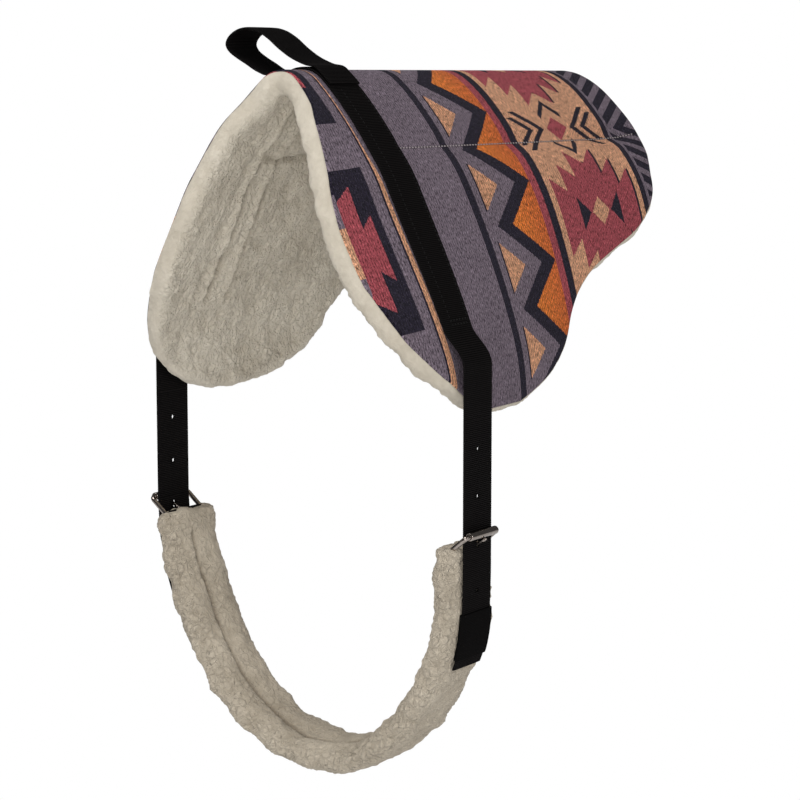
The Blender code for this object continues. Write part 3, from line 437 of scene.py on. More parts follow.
LINING_CELL = 0.0024
HIDDEN_FACE_ROWS = 60
LINING_RIM = ((0.014, 0.024), (0.0118, 0.0239), (0.0092, 0.0236), (0.0066, 0.0229), (0.0043, 0.0215),
              (0.0024, 0.0195), (0.0010, 0.0170), (0.0003, 0.0145), (0.0, 0.0120), (0.0001, 0.0095),
              (0.0007, 0.0070), (0.0018, 0.0046), (0.0034, 0.0025), (0.0050, 0.0018), (0.0066, 0.0030),
              (0.0080, 0.0055), (0.0080, 0.0090), (0.0110, 0.0122))
STRAP_STITCH_ROWS = (-0.010, 0.021)
GROOVE_WIDTH = 0.0027
STRAP_GROOVE_WIDTH = 1.5 * GROOVE_WIDTH
GROOVE_DEPTH = 0.0085
PUFF_OFFSET = 0.0085
PUFF_WIDTH = 0.0050
PUFF_HEIGHT = 0.0052
CURL_SIZE = 0.0068
CURL_HEIGHT = 0.0025
CURL_MIDDLE = 0.55
CURL_WARP = 0.55
CURL_WARP_SIZE = 1.3 * CURL_SIZE
FLUFF_SIZE = 0.42 * CURL_SIZE
FLUFF_SHARE = 0.32
LUMP_SIZE = 0.028
LUMP_HEIGHT = 0.0044
SMALL_LUMP_SIZE = 0.45 * LUMP_SIZE
SMALL_LUMP_SHARE = 0.5
STRAP_ROWS_START = 0.012
STRAP_ROWS_START_EASING = 0.01
STRAP_ROWS_END = 0.29
STRAP_ROWS_END_EASING = 0.02
UNDERSIDE_DEPTH = 0.02
UNDERSIDE_EASING = 0.003
SEAM_GROOVE_SHARE = 0.5
ROLL_DEPTHS = (0.0, 0.016, 0.0225)
ROLL_SHARES = (0.5, 0.5, 1.0)
COVERED_DEPTH = 0.0125
COVERED_START = 0.0008
COVERED_EASING = 0.004
CURL_SUNK_SHARE = 0.6
PILE_TONE = 0.5
CURL_TONE = 0.45
LUMP_TONE = 0.2
GROOVE_TONE = 1.1
CURLY_POWER = 1.6
PILE_SEED = 1
# The lining's two colours: the pale one is painted light on the high pile, the dark one is painted shade in
# its hollows and grooves and also random mottle
LINING_TIPS = (0.69, 0.630, 0.528)
LINING_PAINTED_SHADE_AND_MOTTLE = (0.45, 0.393, 0.306)

lining = pad_shell("fleece_lining_pile", round(SPINE_LENGTH / LINING_CELL), round(2 * FLAP_ARC / LINING_CELL),
                   LINING_RIM, HIDDEN_FACE_ROWS)


def raise_pile(piece, groove, fade, puff=None):
    """Push the pile out in curls, soft lumps and puffs, draw it in along the grooves, and keep painted shade
    that follows this relief.
    """
    mesh = piece.data
    moved, painted_pile_shades = [], []
    puff = np.zeros_like(groove) if puff is None else puff
    for vert, sunk, keep, lift in zip(mesh.vertices, groove, fade, puff):
        spot = vert.co
        warp = noise.noise_vector(spot / CURL_WARP_SIZE) * CURL_WARP
        curl = noise.voronoi(spot / CURL_SIZE + warp)[0][0]
        lump = noise.noise(spot / LUMP_SIZE) + SMALL_LUMP_SHARE * noise.noise(spot / SMALL_LUMP_SIZE)
        pile = CURL_MIDDLE - curl + FLUFF_SHARE * noise.noise(spot / FLUFF_SIZE)
        height = CURL_HEIGHT * pile * (1 - CURL_SUNK_SHARE * sunk)
        height = height + LUMP_HEIGHT * lump * (1 - sunk) - GROOVE_DEPTH * sunk
        moved.append(spot + vert.normal * ((height + lift) * keep))
        # The pile attribute is painted shade: paler where the pile stands high, darker where it lies low and
        # in the grooves
        painted_pile_shades.append(PILE_TONE + CURL_TONE * pile + LUMP_TONE * lump - GROOVE_TONE * sunk)
    mesh.vertices.foreach_set("co", np.array(moved).ravel())
    for key, values in (("pile", painted_pile_shades), ("groove_shade", groove ** 2), ("curly", fade ** CURLY_POWER)):
        mesh.attributes.new(key, "FLOAT", "POINT").data.foreach_set("value", np.array(values, np.float32))
    mesh.update()


def flat_of(piece):
    """The flat places kept on a piece's vertices, as three rows."""
    flat = np.zeros(len(piece.data.vertices) * 3, np.float32)
    piece.data.attributes["flat"].data.foreach_get("vector", flat)
    return flat.reshape(-1, 3).T


def ridge(distance, width):
    return np.exp(-(distance / width) ** 2)


def strap_rows_reach(arc):
    """How far down the flaps the strap's stitches show in the pile, eased at both ends."""
    return (ramp(np.abs(arc), STRAP_ROWS_START, STRAP_ROWS_START_EASING)
            * ramp(-np.abs(arc), -STRAP_ROWS_END, STRAP_ROWS_END_EASING))


def lining_groove(along, arc, depth):
    """The strap's two rows of stitches, and the cover's long seam behind the first of them."""
    front, rear = STRAP_STITCH_ROWS
    strap = np.maximum(ridge(along - front, STRAP_GROOVE_WIDTH), ridge(along - rear, STRAP_GROOVE_WIDTH))
    strap *= strap_rows_reach(arc)
    seam = ridge(np.abs(arc) - seam_arc(along), GROOVE_WIDTH)
    seam *= (along > front) * (along < REAR_REACH - SEAM_SPREAD)
    return np.maximum(strap, seam * SEAM_GROOVE_SHARE) * ramp(depth, UNDERSIDE_DEPTH, UNDERSIDE_EASING)


def lining_puff(along, arc, depth):
    """The pile stands higher just ahead of each row, where the stitches push it aside."""
    rows = sum(ridge(along - row + PUFF_OFFSET, PUFF_WIDTH) for row in STRAP_STITCH_ROWS)
    return PUFF_HEIGHT * rows * strap_rows_reach(arc) * ramp(depth, UNDERSIDE_DEPTH, UNDERSIDE_EASING)


def lining_fade(depth):
    """The pile is full inside, calmer round the roll, and flat where the cover lies on it."""
    under_cover = np.where(depth < COVERED_DEPTH, ramp(depth, COVERED_START, COVERED_EASING), 1.0)
    return under_cover * np.interp(depth, ROLL_DEPTHS, ROLL_SHARES)


# One seed, so that the curls are the same each run
noise.seed_set(PILE_SEED)
along, arc, depth = flat_of(lining)
raise_pile(lining, lining_groove(along, arc, depth), lining_fade(depth), lining_puff(along, arc, depth))
lining.data.materials.append(fleece_finish("fleece_pile", LINING_TIPS, LINING_PAINTED_SHADE_AND_MOTTLE, 1.0))
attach(lining, "pad")
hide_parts("fleece_lining")


# Felt core. A firm wool and synthetic felt sheet, cut 14 mm short of the edge, lies between the
# cover and the fleece and gives the pad its body. Only its solid shape matters, as nothing shows.
def grained_finish(name, roughness, light, dark, grain, relief, **sockets):
    """A plain material in two shades. The grain is its scale, detail, roughness and distortion."""
    finish, tree, shader, place = new_finish(name, roughness, **sockets)
    fibres = node_noise(tree, place, *grain)
    tree.links.new(node_mix(tree, fibres, light, dark), shader.inputs["Base Color"])
    tree.links.new(node_bump(tree, fibres, relief, 0.6), shader.inputs["Normal"])
    return finish


felt_finish = grained_finish("felt_fibres", 0.95, (0.62, 0.60, 0.55), (0.44, 0.42, 0.38),
                             (900.0, 3.0, 0.7, 1.5), 0.0006, Sheen_Weight=0.2)
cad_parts["felt_core"].data.materials.clear()
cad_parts["felt_core"].data.materials.append(felt_finish)


# Woven cover. A heavy blanket fabric with a stepped southwestern pattern, woven in navy, grey,
# rose, orange and tan. It is cut to the pad, laid over the felt and caught under the fleece roll.
COVER_CELL = 0.0034
COVER_RIM = ((0.0085, 0.0), (0.0072, 0.0001), (0.0061, 0.0005), (0.0053, 0.0013), (0.0050, 0.0026),
             (0.0056, 0.0036), (0.0090, 0.0026))
THREAD = 0.0013
WEFT_PITCH = 1.3
WARP_PITCH = 1.05
RIB_SPACING = 3.6
WEAVE_RELIEF = 0.00055
GROUND = (0.150, 0.118, 0.146)
NAVY = (0.015, 0.012, 0.023)
ORANGE = (0.60, 0.165, 0.028)
RUST = (0.50, 0.110, 0.028)
ROSE = (0.31, 0.060, 0.074)
TAN = (0.54, 0.282, 0.168)
SANDSTONE = (0.53, 0.270, 0.155)
FLECK = (0.46, 0.38, 0.39)
# The pattern's places in millimetres: y runs back from the strap, a runs down from the spine
PANEL_REAR = -47.5
PANEL_MIDDLE = -5.0
PANEL_HALF_PITCH = 110.0
PANEL_HALF = 85.5
FIGURE_MIDDLE = 3.0
FIGURE_HALF_PITCH = 105.0
FIGURE_FRONT = -96.0
FIGURE_STEP = -74.0
FIGURE_REAR = -58.0
FRONT_STRIPE = -32.4
STRIPES = (
    (-34.6, FRONT_STRIPE, NAVY), (98.5, 110.5, NAVY), (217.5, 230.5, ROSE), (230.5, 243.5, NAVY),
    (243.5, 422.0, TAN), (422.0, 432.5, NAVY),
)
TRIANGLE_BASE = 124.0
TRIANGLE_TIP = 158.0
TRIANGLE_HALF = 26.0
ZIGZAG_MIDDLE = 35.0
ZIGZAG_HALF_PITCH = 44.0
ZIGZAG_FRONT = 131.5
ZIGZAG_REACH = 58.0
ZIGZAG_WIDTH = 27.5
ZIGZAG_REAR = 217.5
DIAMOND_MIDDLE = 332.0
DIAMOND_HALF_PITCH = 106.0
DIAMOND_HALF = 78.0
TOOTH_PITCH = 26.0
BARS_FRONT = 438.0
BARS_PITCH = 20.0
BARS_BOTTOM = 205.0
SEAM_LINE_FRONT = 26.0
SEAM_LINE_HALF = 1.15

cover = pad_shell("woven_cover", round(SPINE_LENGTH / COVER_CELL), round(2 * FLAP_ARC / COVER_CELL),
                  COVER_RIM, HIDDEN_FACE_ROWS)


def weave_places(tree):
    """A piece's own UV map in metres, and its two parts."""
    sheet = tree.nodes.new("ShaderNodeUVMap")
    sheet.uv_map = "weave"
    split = tree.nodes.new("ShaderNodeSeparateXYZ")
    tree.links.new(sheet.outputs["UV"], split.inputs["Vector"])
    return sheet.outputs["UV"], split.outputs["X"], split.outputs["Y"]


def node_wave(tree, value, pitch):
    return node_math(tree, "SINE", node_math(tree, "MULTIPLY", value, 2 * math.pi / pitch))


def blanket_finish():
    """The woven pattern, worked out from the fabric's own places."""
    finish, tree, shader, _ = new_finish("blanket_weave", 0.92, Sheen_Weight=0.03, Sheen_Roughness=0.5,
                                         Specular_IOR_Level=0.10)
    sheet, back, down = weave_places(tree)

    def op(kind, *values):
        return node_math(tree, kind, *values)

    def add(a, b):
        return op("ADD", a, b)

    def minus(a, b):
        return op("SUBTRACT", a, b)

    def times(a, b):
        return op("MULTIPLY", a, b)

    def below(a, b):
        return op("LESS_THAN", a, b)

    def above(a, b):
        return op("GREATER_THAN", a, b)

    def between(a, low, high):
        return times(above(a, low), below(a, high))

    def both(*masks):
        result = masks[0]
        for mask in masks[1:]:
            result = times(result, mask)
        return result

    def away(a, centre):
        return op("ABSOLUTE", minus(a, centre))

    def fold(a, centre, half_pitch):
        """Distance from the nearest of a row of mirrored centres."""
        return op("PINGPONG", minus(a, centre), half_pitch)

    def stepped(a):
        """The middle of the thread that a place lies on."""
        step = THREAD * 1000
        return add(times(op("FLOOR", times(a, 1 / step)), step), step / 2)

    y_true, a_true = times(back, 1000.0), times(down, 1000.0)
    y, a = stepped(y_true), stepped(a_true)
    colour = [GROUND]

    def lay(mask, shade):
        colour.append(node_mix(tree, mask, colour[-1], shade))

    # Front panels: navy blocks with a toothed rose figure, a grey edge and a tan heart
    lay(both(below(y, PANEL_REAR), below(fold(a, PANEL_MIDDLE, PANEL_HALF_PITCH), PANEL_HALF)), NAVY)
    figure = fold(a, FIGURE_MIDDLE, FIGURE_HALF_PITCH)
    inner_tooth = times(minus(y, FIGURE_FRONT), 0.62)
    outer_tooth = times(minus(y, FIGURE_STEP), 0.8)
    lay(both(between(y, FIGURE_FRONT, FIGURE_STEP), below(figure, add(inner_tooth, 52.0))), ROSE)
    lay(both(between(y, FIGURE_STEP - 0.5, FIGURE_REAR), below(figure, add(outer_tooth, 22.0))), ROSE)
    lay(both(below(y, FIGURE_FRONT), below(figure, add(inner_tooth, 60.0))), GROUND)
    lay(both(below(y, FIGURE_FRONT), below(figure, 26.0)), TAN)
    # Straight stripes, and a thin tan one before the strap that widens towards the bottom edge
    for low, high, shade in STRIPES:
        lay(between(y, low, high), shade)
    reach_across = op("ABSOLUTE", a_true)
    reach = op("ABSOLUTE", a)
    widening = add(times(op("MINIMUM", op("MAXIMUM", minus(reach, 105.0), 0.0), 45.0), 0.085),
                   times(op("MAXIMUM", minus(reach, 150.0), 0.0), 0.0175))
    lay(both(above(y_true, FRONT_STRIPE), below(y_true, add(widening, FRONT_STRIPE + 1.8))), SANDSTONE)
    # Tan triangles, and the bold zigzag with its orange field
    wave = times(fold(a, ZIGZAG_MIDDLE, ZIGZAG_HALF_PITCH), 1 / ZIGZAG_HALF_PITCH)
    crest = fold(a, ZIGZAG_MIDDLE + ZIGZAG_HALF_PITCH, ZIGZAG_HALF_PITCH)
    slope = TRIANGLE_HALF / (TRIANGLE_TIP - TRIANGLE_BASE)
    lay(both(between(y, TRIANGLE_BASE - 3.0, TRIANGLE_BASE), below(crest, TRIANGLE_HALF + 1.0)), NAVY)
    lay(both(above(y, TRIANGLE_BASE), below(crest, times(minus(TRIANGLE_TIP, y), slope))), SANDSTONE)
    front_side = add(times(wave, ZIGZAG_REACH), ZIGZAG_FRONT)
    warm = node_mix(tree, op("MULTIPLY_ADD", y, 0.02, -3.4), ORANGE, RUST)
    lay(both(above(y, front_side), below(y, ZIGZAG_REAR)), warm)
    lay(both(above(y, front_side), below(y, add(front_side, ZIGZAG_WIDTH))), NAVY)
    # Toothed diamonds on the tan band, with their hearts
    reach = away(y, DIAMOND_MIDDLE)
    t = fold(a, 0.0, DIAMOND_HALF_PITCH)

    def toothed(shift):
        reach = away(y, DIAMOND_MIDDLE + shift)
        tooth = op("FLOOR", times(reach, 1 / TOOTH_PITCH))
        within = minus(reach, times(tooth, TOOTH_PITCH))
        edge = add(minus(56.0, times(tooth, 15.0)), times(within, 0.68))
        return both(below(reach, DIAMOND_HALF), below(t, edge))

    lay(both(toothed(3.2), above(y, DIAMOND_MIDDLE)), NAVY)
    lay(toothed(0.0), ROSE)
    lay(both(between(reach, 20.0, 41.0), below(t, times(minus(reach, 20.0), 18.5 / 21.0))), NAVY)
    lay(below(add(times(reach, 1 / 17.5), times(t, 1 / 15.5)), 1.0), TAN)
    # Small figure between the diamonds: a rose heart, two navy strokes and two pairs of arrowheads
    s = minus(DIAMOND_HALF_PITCH, t)
    lay(below(add(times(reach, 1 / 20.5), times(s, 1 / 14.5)), 1.0), ROSE)
    lay(both(below(reach, 21.5), below(away(add(s, times(reach, 0.85)), 34.0), 3.9)), NAVY)
    for place, half, end in ((32.0, 5.6, 26.0), (54.0, 5.4, 17.0)):
        lay(both(below(away(minus(reach, times(s, 1.55)), place), half), below(s, end)), NAVY)
    # Rear border: slanted bars
    slant = add(op("MINIMUM", reach_across, minus(224.0, reach_across)), times(y, 0.51))
    bars = below(op("FRACT", times(slant, 1 / BARS_PITCH)), 0.56)
    lay(both(above(y, BARS_FRONT), bars, below(reach_across, BARS_BOTTOM)), NAVY)

    # Heathered threads: long lighter and darker runs down the flap, pale flecks and dark gaps
    def stretched(across_scale, down_scale):
        node = tree.nodes.new("ShaderNodeCombineXYZ")
        tree.links.new(times(y_true, across_scale), node.inputs[0])
        tree.links.new(times(a_true, down_scale), node.inputs[1])
        return node.outputs[0]

    runs = node_noise(tree, stretched(1.0, 0.20), 1.0, 2.0, 0.7)
    flecks = node_noise(tree, stretched(1.5, 0.45), 1.0, 2.0, 0.6)
    cloud = node_noise(tree, sheet, 20.0, 3.0, 0.55)
    fleck = op("MAXIMUM", op("MULTIPLY_ADD", flecks, 3.4, -2.05), 0.0)
    mottled = op("MULTIPLY_ADD", runs, 5.0, op("MULTIPLY_ADD", cloud, 0.5, -1.7))
    mottled = op("MULTIPLY_ADD", node_wave(tree, y_true, RIB_SPACING), 0.22, mottled)
    mottled = op("MAXIMUM", op("MULTIPLY_ADD", flecks, 3.0, minus(mottled, 1.5)), 0.22)
    # The long seam draws the cloth in, and a fine painted shadow line lies under its stitches
    level = node_clamp(tree, times(add(y_true, STRAP_SETBACK * 1000), 1 / (SPINE_LENGTH * 1000)))
    seam = op("MULTIPLY_ADD", level, SEAM_DRIFT_SHARE * FLAP_ARC * 1000, SEAM_SHARE * FLAP_ARC * 1000)
    shadow = both(below(away(reach_across, seam), SEAM_LINE_HALF), above(y_true, SEAM_LINE_FRONT))
    mottled = times(mottled, minus(1.0, times(shadow, 0.62)))
    grey = tree.nodes.new("ShaderNodeCombineColor")
    for socket in grey.inputs[:3]:
        tree.links.new(mottled, socket)
    shades = tree.nodes.new("ShaderNodeMix")
    shades.data_type = "RGBA"
    shades.blend_type = "MULTIPLY"
    shades.inputs[0].default_value = 1.0
    tree.links.new(colour[-1], shades.inputs[6])
    tree.links.new(grey.outputs[0], shades.inputs[7])
    pale = node_mix(tree, op("MINIMUM", times(fleck, 0.5), 0.42), shades.outputs[2], FLECK)
    tree.links.new(pale, shader.inputs["Base Color"])

    # Weave relief: weft ribs crossed by finer warp, broken by the heather
    relief = op("MULTIPLY_ADD", flecks, 0.8, runs)
    relief = op("MULTIPLY_ADD", node_wave(tree, y_true, WARP_PITCH), 0.3, relief)
    relief = op("MULTIPLY_ADD", node_wave(tree, a_true, WEFT_PITCH), 0.3, relief)
    tree.links.new(node_bump(tree, relief, WEAVE_RELIEF, 0.85), shader.inputs["Normal"])
    return finish


cover.data.materials.append(blanket_finish())
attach(cover, "pad")
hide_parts("top_cover")


# Long seam of the cover. A row of pale topstitching runs along both flaps from the strap back to
# the rear edge, where it fastens cover, felt and fleece together. Each stitch is a short thread.
STITCH_PITCH = 0.0051
STITCH_LENGTH = 0.0033
STITCH_WIDTH = 0.0019
SEAM_FRONT = 0.0285
SEAM_REAR_INSET = 0.012
SEAM_THREAD_LIFT = 0.0002
THREAD_HEIGHT_SHARE = 0.35
NORMAL_STEP = 0.001


def thread_finish(name, colour):
    finish, tree, shader, place = new_finish(name, 0.6, Specular_IOR_Level=0.3)
    twist = node_noise(tree, place, 1800.0, 1.0, 0.5)
    dark = tuple(part * 0.6 for part in colour)
    tree.links.new(node_mix(tree, twist, colour, dark), shader.inputs["Base Color"])
    return finish


def stitches(name, rows):
    """Short threads, one at the middle of each step along rows of points that have surface normals."""
    builder = bmesh.new()
    for points, normals in rows:
        for index in range(0, len(points) - 1, 2):
            start, end, up = Vector(points[index]), Vector(points[index + 1]), Vector(normals[index])
            along = (end - start).normalized()
            aside = up.cross(along).normalized()
            thick = aside.cross(along) * -STITCH_WIDTH * THREAD_HEIGHT_SHARE
            turn = Matrix((along * STITCH_LENGTH / 2, aside * STITCH_WIDTH / 2, thick)).transposed()
            bmesh.ops.create_icosphere(builder, subdivisions=1, radius=1.0,
                                       matrix=Matrix.Translation((start + end) / 2) @ turn.to_4x4())
    bmesh.ops.recalc_face_normals(builder, faces=builder.faces)
    return finished(name, builder)


def pad_row(along, arc, height):
    """Points a height over the cover, two for each stitch, and the cover's normals there."""
    low, high = pad_points(along, arc, 0.0), pad_points(along, arc, -NORMAL_STEP)
    return pad_points(along, arc, -height), (high - low) / NORMAL_STEP


def seam_row(side):
    last = float(rear_edge(np.array((SEAM_SHARE + SEAM_DRIFT_SHARE) * FLAP_ARC))) - SEAM_REAR_INSET
    along = np.arange(SEAM_FRONT, last, STITCH_PITCH / 2)
    return pad_row(along, side * seam_arc(along), SEAM_THREAD_LIFT)


seam_thread = stitches("cover_seam_thread", [seam_row(1), seam_row(-1)])
seam_thread.data.materials.append(thread_finish("seam_thread", (0.44, 0.38, 0.39)))
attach(seam_thread, "pad")


# Strap over the pad. Black ribbed webbing 50 mm wide is sewn across the cover from flap to flap,
# and from the seam down it lies loose on the cloth. It carries the billets at both ends.
WEBBING_WIDTH = 0.050
WEBBING_THICKNESS = 0.0026
SEATING_GAP = 0.0004
STRAP_FREE_SHARES = (0.775, 0.87)
STRAP_SEWN_SHARE = 0.765
STRAP_ROWS_CLEAR = 0.042
CROSS_ROW_SPACING = 0.012
RIB_PITCH = 0.0019
RIB_HEIGHT = 0.00022
SCALLOP_SHARE = 1.1
EDGE_ROUNDING = 0.5
FACE_ROUNDING = 0.32
RINGS_PER_RIB = 4
BAND_SIDES = 28
YARN_PITCH = 0.0011
# How much paler the painted highlight on the rib crowns is
PAINTED_SHEEN_PALENESS = 19


def swept(name, length, rings, sides, section, place, closed=False):
    """A tube of many rings, given a section and laid along its path. Its UV is place across and along."""
    builder = bmesh.new()
    flat = builder.verts.layers.float_vector.new("flat")
    bmesh.ops.create_cone(builder, cap_ends=not closed, segments=sides, radius1=1.0, radius2=1.0, depth=1.0)
    long_edges = [edge for edge in builder.edges if abs(edge.verts[0].co.z - edge.verts[1].co.z) > 0.5]
    bmesh.ops.subdivide_edges(builder, edges=long_edges, cuts=rings - 1)
    spots = np.array([vert.co[:] for vert in builder.verts])
    run = (spots[:, 2] + 0.5) * length
    across, height = section(np.arctan2(spots[:, 1], spots[:, 0]), run)
    for vert, point, one, other in zip(builder.verts, place(run, across, height), across, run):
        vert.co = point
        vert[flat] = (one, other, 0.0)
    if closed:
        bmesh.ops.remove_doubles(builder, verts=builder.verts, dist=MERGE_DISTANCE)
    bmesh.ops.recalc_face_normals(builder, faces=builder.faces)
    # Recalculated normals can still turn a bent tube inside out, which its volume shows
    if builder.calc_volume(signed=True) < 0:
        bmesh.ops.reverse_faces(builder, faces=builder.faces)
    return finished(name, builder, flat)


def signed_power(value, power):
    return np.sign(value) * np.abs(value) ** power


def webbing_section(angle, run):
    """A flat oval with woven ribs across it and small scallops down both selvedges."""
    cosine, sine = np.cos(angle), np.sin(angle)
    wave = np.sin(2 * np.pi * run / RIB_PITCH)
    face = np.abs(sine) ** 0.5
    scallop = np.sign(cosine) * RIB_HEIGHT * SCALLOP_SHARE * wave * (1 - face)
    rib = np.sign(sine) * RIB_HEIGHT * (wave - 1) * face
    return (signed_power(cosine, EDGE_ROUNDING) * WEBBING_WIDTH / 2 + scallop,
            signed_power(sine, FACE_ROUNDING) * WEBBING_THICKNESS / 2 + rib)


def band(name, length, place):
    """A length of the ribbed webbing, laid along its path."""
    return swept(name, length, round(length / RIB_PITCH * RINGS_PER_RIB), BAND_SIDES, webbing_section, place)


def webbing_finish(name, colour):
    """Black nylon: a painted highlight makes the rib crowns paler than the black between them, and fine
    threads run down its length.
    """
    finish, tree, shader, _ = new_finish(name, 0.75, Specular_IOR_Level=0.12, IOR=1.25)
    sheet, across, along = weave_places(tree)
    fuzz = node_noise(tree, sheet, 800.0, 2.0, 0.6)
    relief = node_math(tree, "MULTIPLY_ADD", node_wave(tree, across, YARN_PITCH), 0.4, fuzz)
    # Painted highlight: the crowns of the ribs are painted paler, as sheen
    painted_rib_sheen = node_math(tree, "MULTIPLY_ADD", node_wave(tree, along, RIB_PITCH), 0.5, 0.5)
    painted_rib_sheen = node_math(tree, "MULTIPLY", painted_rib_sheen, painted_rib_sheen)
    painted_rib_sheen = node_math(tree, "MULTIPLY", painted_rib_sheen, node_math(tree, "ADD", fuzz, 0.5))
    pale = tuple(part * PAINTED_SHEEN_PALENESS for part in colour)
    tree.links.new(node_mix(tree, painted_rib_sheen, colour, pale), shader.inputs["Base Color"])
    tree.links.new(node_bump(tree, relief, 0.0003, 0.7), shader.inputs["Normal"])
    return finish


black_webbing = webbing_finish("black_webbing", (0.0008, 0.0007, 0.0007))
HANG_REACH = (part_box("near_billet")[0].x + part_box("near_billet")[1].x) / 2
HINGE_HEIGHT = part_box("near_billet")[1].z - WEBBING_THICKNESS / 2
ROLLER_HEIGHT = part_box("near_billet")[0].z + WEBBING_THICKNESS / 2


def over_strap_place(run, across, height):
    """The strap lies on the cover, then leaves it to hang straight down to the hinge."""
    arc = run - FLAP_ARC
    side = np.where(arc < 0, -1.0, 1.0)
    start, end = STRAP_FREE_SHARES
    free = ramp(np.abs(arc) / FLAP_ARC, start, end - start)[:, None]
    free = free * free * (3 - 2 * free)
    seated = pad_points(across, arc, -(SEATING_GAP + WEBBING_THICKNESS / 2 + height))
    middle = pad_points(0.0, arc, 0.0)
    hanging = np.stack([side * (HANG_REACH + height), across, middle[:, 2]], axis=-1)
    return seated * (1 - free) + hanging * free


over_strap = band("over_strap_webbing", 2 * FLAP_ARC, over_strap_place)
over_strap.data.materials.append(black_webbing)
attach(over_strap, "pad")
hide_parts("over_strap")


def strap_rows():
    """Two rows of black topstitching down the strap and two across it where it comes free."""
    height = SEATING_GAP + WEBBING_THICKNESS - RIB_HEIGHT * 2
    rows = []
    for side in (-1, 1):
        down = np.arange(STRAP_ROWS_CLEAR, STRAP_SEWN_SHARE * FLAP_ARC, STITCH_PITCH / 2)
        rows += [pad_row(np.full_like(down, row), side * down, height) for row in STRAP_STITCH_ROWS]
        over = np.arange(*STRAP_STITCH_ROWS, STITCH_PITCH / 2)
        rows += [pad_row(over, np.full_like(over, side * share * FLAP_ARC), height)
                 for share in (STRAP_SEWN_SHARE, STRAP_SEWN_SHARE - CROSS_ROW_SPACING)]
    return rows


strap_thread = stitches("strap_thread", strap_rows())
black_thread = thread_finish("black_thread", (0.0016, 0.0015, 0.0015))
strap_thread.data.materials.append(black_thread)
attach(strap_thread, "pad")


# Hand loop. A second length of the same webbing has both ends sewn down on the strap at the
# spine, and stands up from the pad as a grab handle that leans to the far side.
HANDLE_SPAN = 0.110
HANDLE_RISE = 0.041
HANDLE_SHARES = (
    (0.145, 0.07), (0.03, 0.13), (-0.12, 0.29), (-0.255, 0.51), (-0.38, 0.76), (-0.50, 0.93),
    (-0.62, 1.0), (-0.73, 0.95), (-0.82, 0.80), (-0.855, 0.62), (-0.82, 0.45),
    (-0.73, 0.29), (-0.63, 0.15), (-0.53, 0.0), (-0.44, -0.10), (-0.386, -0.164),
)
HANDLE_LOW = SEATING_GAP + WEBBING_THICKNESS + SEATING_GAP
HANDLE_SEWN_ARCS = (0.037, 0.030, 0.0225)
HANDLE_FAR_ARCS = (-0.0505, -0.064, -0.0776)
PATH_STEPS = 24


def smooth_path(corners, steps=PATH_STEPS):
    """Closely spaced points of one smooth curve through corners given as (x, z)."""
    corners = [np.array(corner, float) for corner in corners]
    padded = [2 * corners[0] - corners[1], *corners, 2 * corners[-1] - corners[-2]]
    points = []
    for index in range(1, len(padded) - 2):
        p0, p1, p2, p3 = padded[index - 1:index + 3]
        for step in range(steps):
            t = step / steps
            points.append(0.5 * (2 * p1 + (p2 - p0) * t + (2 * p0 - 5 * p1 + 4 * p2 - p3) * t ** 2
                                 + (3 * p1 - p0 - 3 * p2 + p3) * t ** 3))
    points.append(corners[-1])
    return np.array(points)


def path_place(points):
    """The length of a path of (x, z) points, and a function that lays a band along it."""
    steps = np.hypot(*np.diff(points, axis=0).T)
    runs = np.concatenate(([0.0], np.cumsum(steps)))
    tangents = np.gradient(points, runs, axis=0)
    tangents /= np.hypot(*tangents.T)[:, None]

    def place(run, across, height):
        x, z = (np.interp(run, runs, part) for part in points.T)
        tx, tz = (np.interp(run, runs, part) for part in tangents.T)
        size = np.hypot(tx, tz)
        return np.stack([x - height * tz / size, across, z + height * tx / size], axis=-1)
    return runs[-1], place


def handle_path():
    lift = HANDLE_LOW + WEBBING_THICKNESS / 2
    near = pad_points(0.0, HANDLE_SEWN_ARCS, -lift)[:, ::2]
    far = pad_points(0.0, HANDLE_FAR_ARCS, -lift)[:, ::2]
    loop = [(across * HANDLE_SPAN, PAD_THICKNESS + rise * HANDLE_RISE) for across, rise in HANDLE_SHARES]
    return smooth_path([*near, *loop, *far])


handle_length, handle_place = path_place(handle_path())
handle = band("hand_loop_webbing", handle_length, handle_place)
handle.data.materials.append(black_webbing)
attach(handle, "pad")
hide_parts("handle_loop")


# Billets. The strap's free ends hang below the flaps with punched holes for the buckles. Each
# bends where it leaves the pad and passes down behind the roller of its buckle.
HOLE_DIAMETER = 0.0046
HOLE_PITCH = 0.0465
FIRST_HOLE_DROP = 0.0282
HOLE_SIDES = 20
PUNCH_DEPTH = 0.012
SIDES = (("near", 1), ("far", -1))


def evaluated(piece):
    return bpy.data.meshes.new_from_object(piece.evaluated_get(bpy.context.evaluated_depsgraph_get()))


def settle(piece):
    """Apply a piece's modifiers to its mesh."""
    mesh = evaluated(piece)
    piece.modifiers.clear()
    piece.data = mesh


def cut_away(piece, tool):
    """Cut a closed shape out of a piece."""
    cut = piece.modifiers.new("cut", "BOOLEAN")
    cut.operation = "DIFFERENCE"
    cut.solver = "EXACT"
    cut.object = tool
    settle(piece)
    bpy.data.objects.remove(tool, do_unlink=True)


def punch(piece, middle, normal, width, length):
    """Punch a hole through a band at a point on its middle, given the face normal there."""
    builder = bmesh.new()
    bmesh.ops.create_cone(builder, cap_ends=True, segments=HOLE_SIDES, radius1=0.5, radius2=0.5, depth=1.0)
    bmesh.ops.scale(builder, verts=builder.verts, vec=(length, width, PUNCH_DEPTH))
    turn = Vector((0.0, 0.0, 1.0)).rotation_difference(Vector(normal))
    bmesh.ops.rotate(builder, verts=builder.verts, matrix=turn.to_matrix())
    bmesh.ops.translate(builder, verts=builder.verts, vec=middle)
    cut_away(piece, finished("punch", builder))


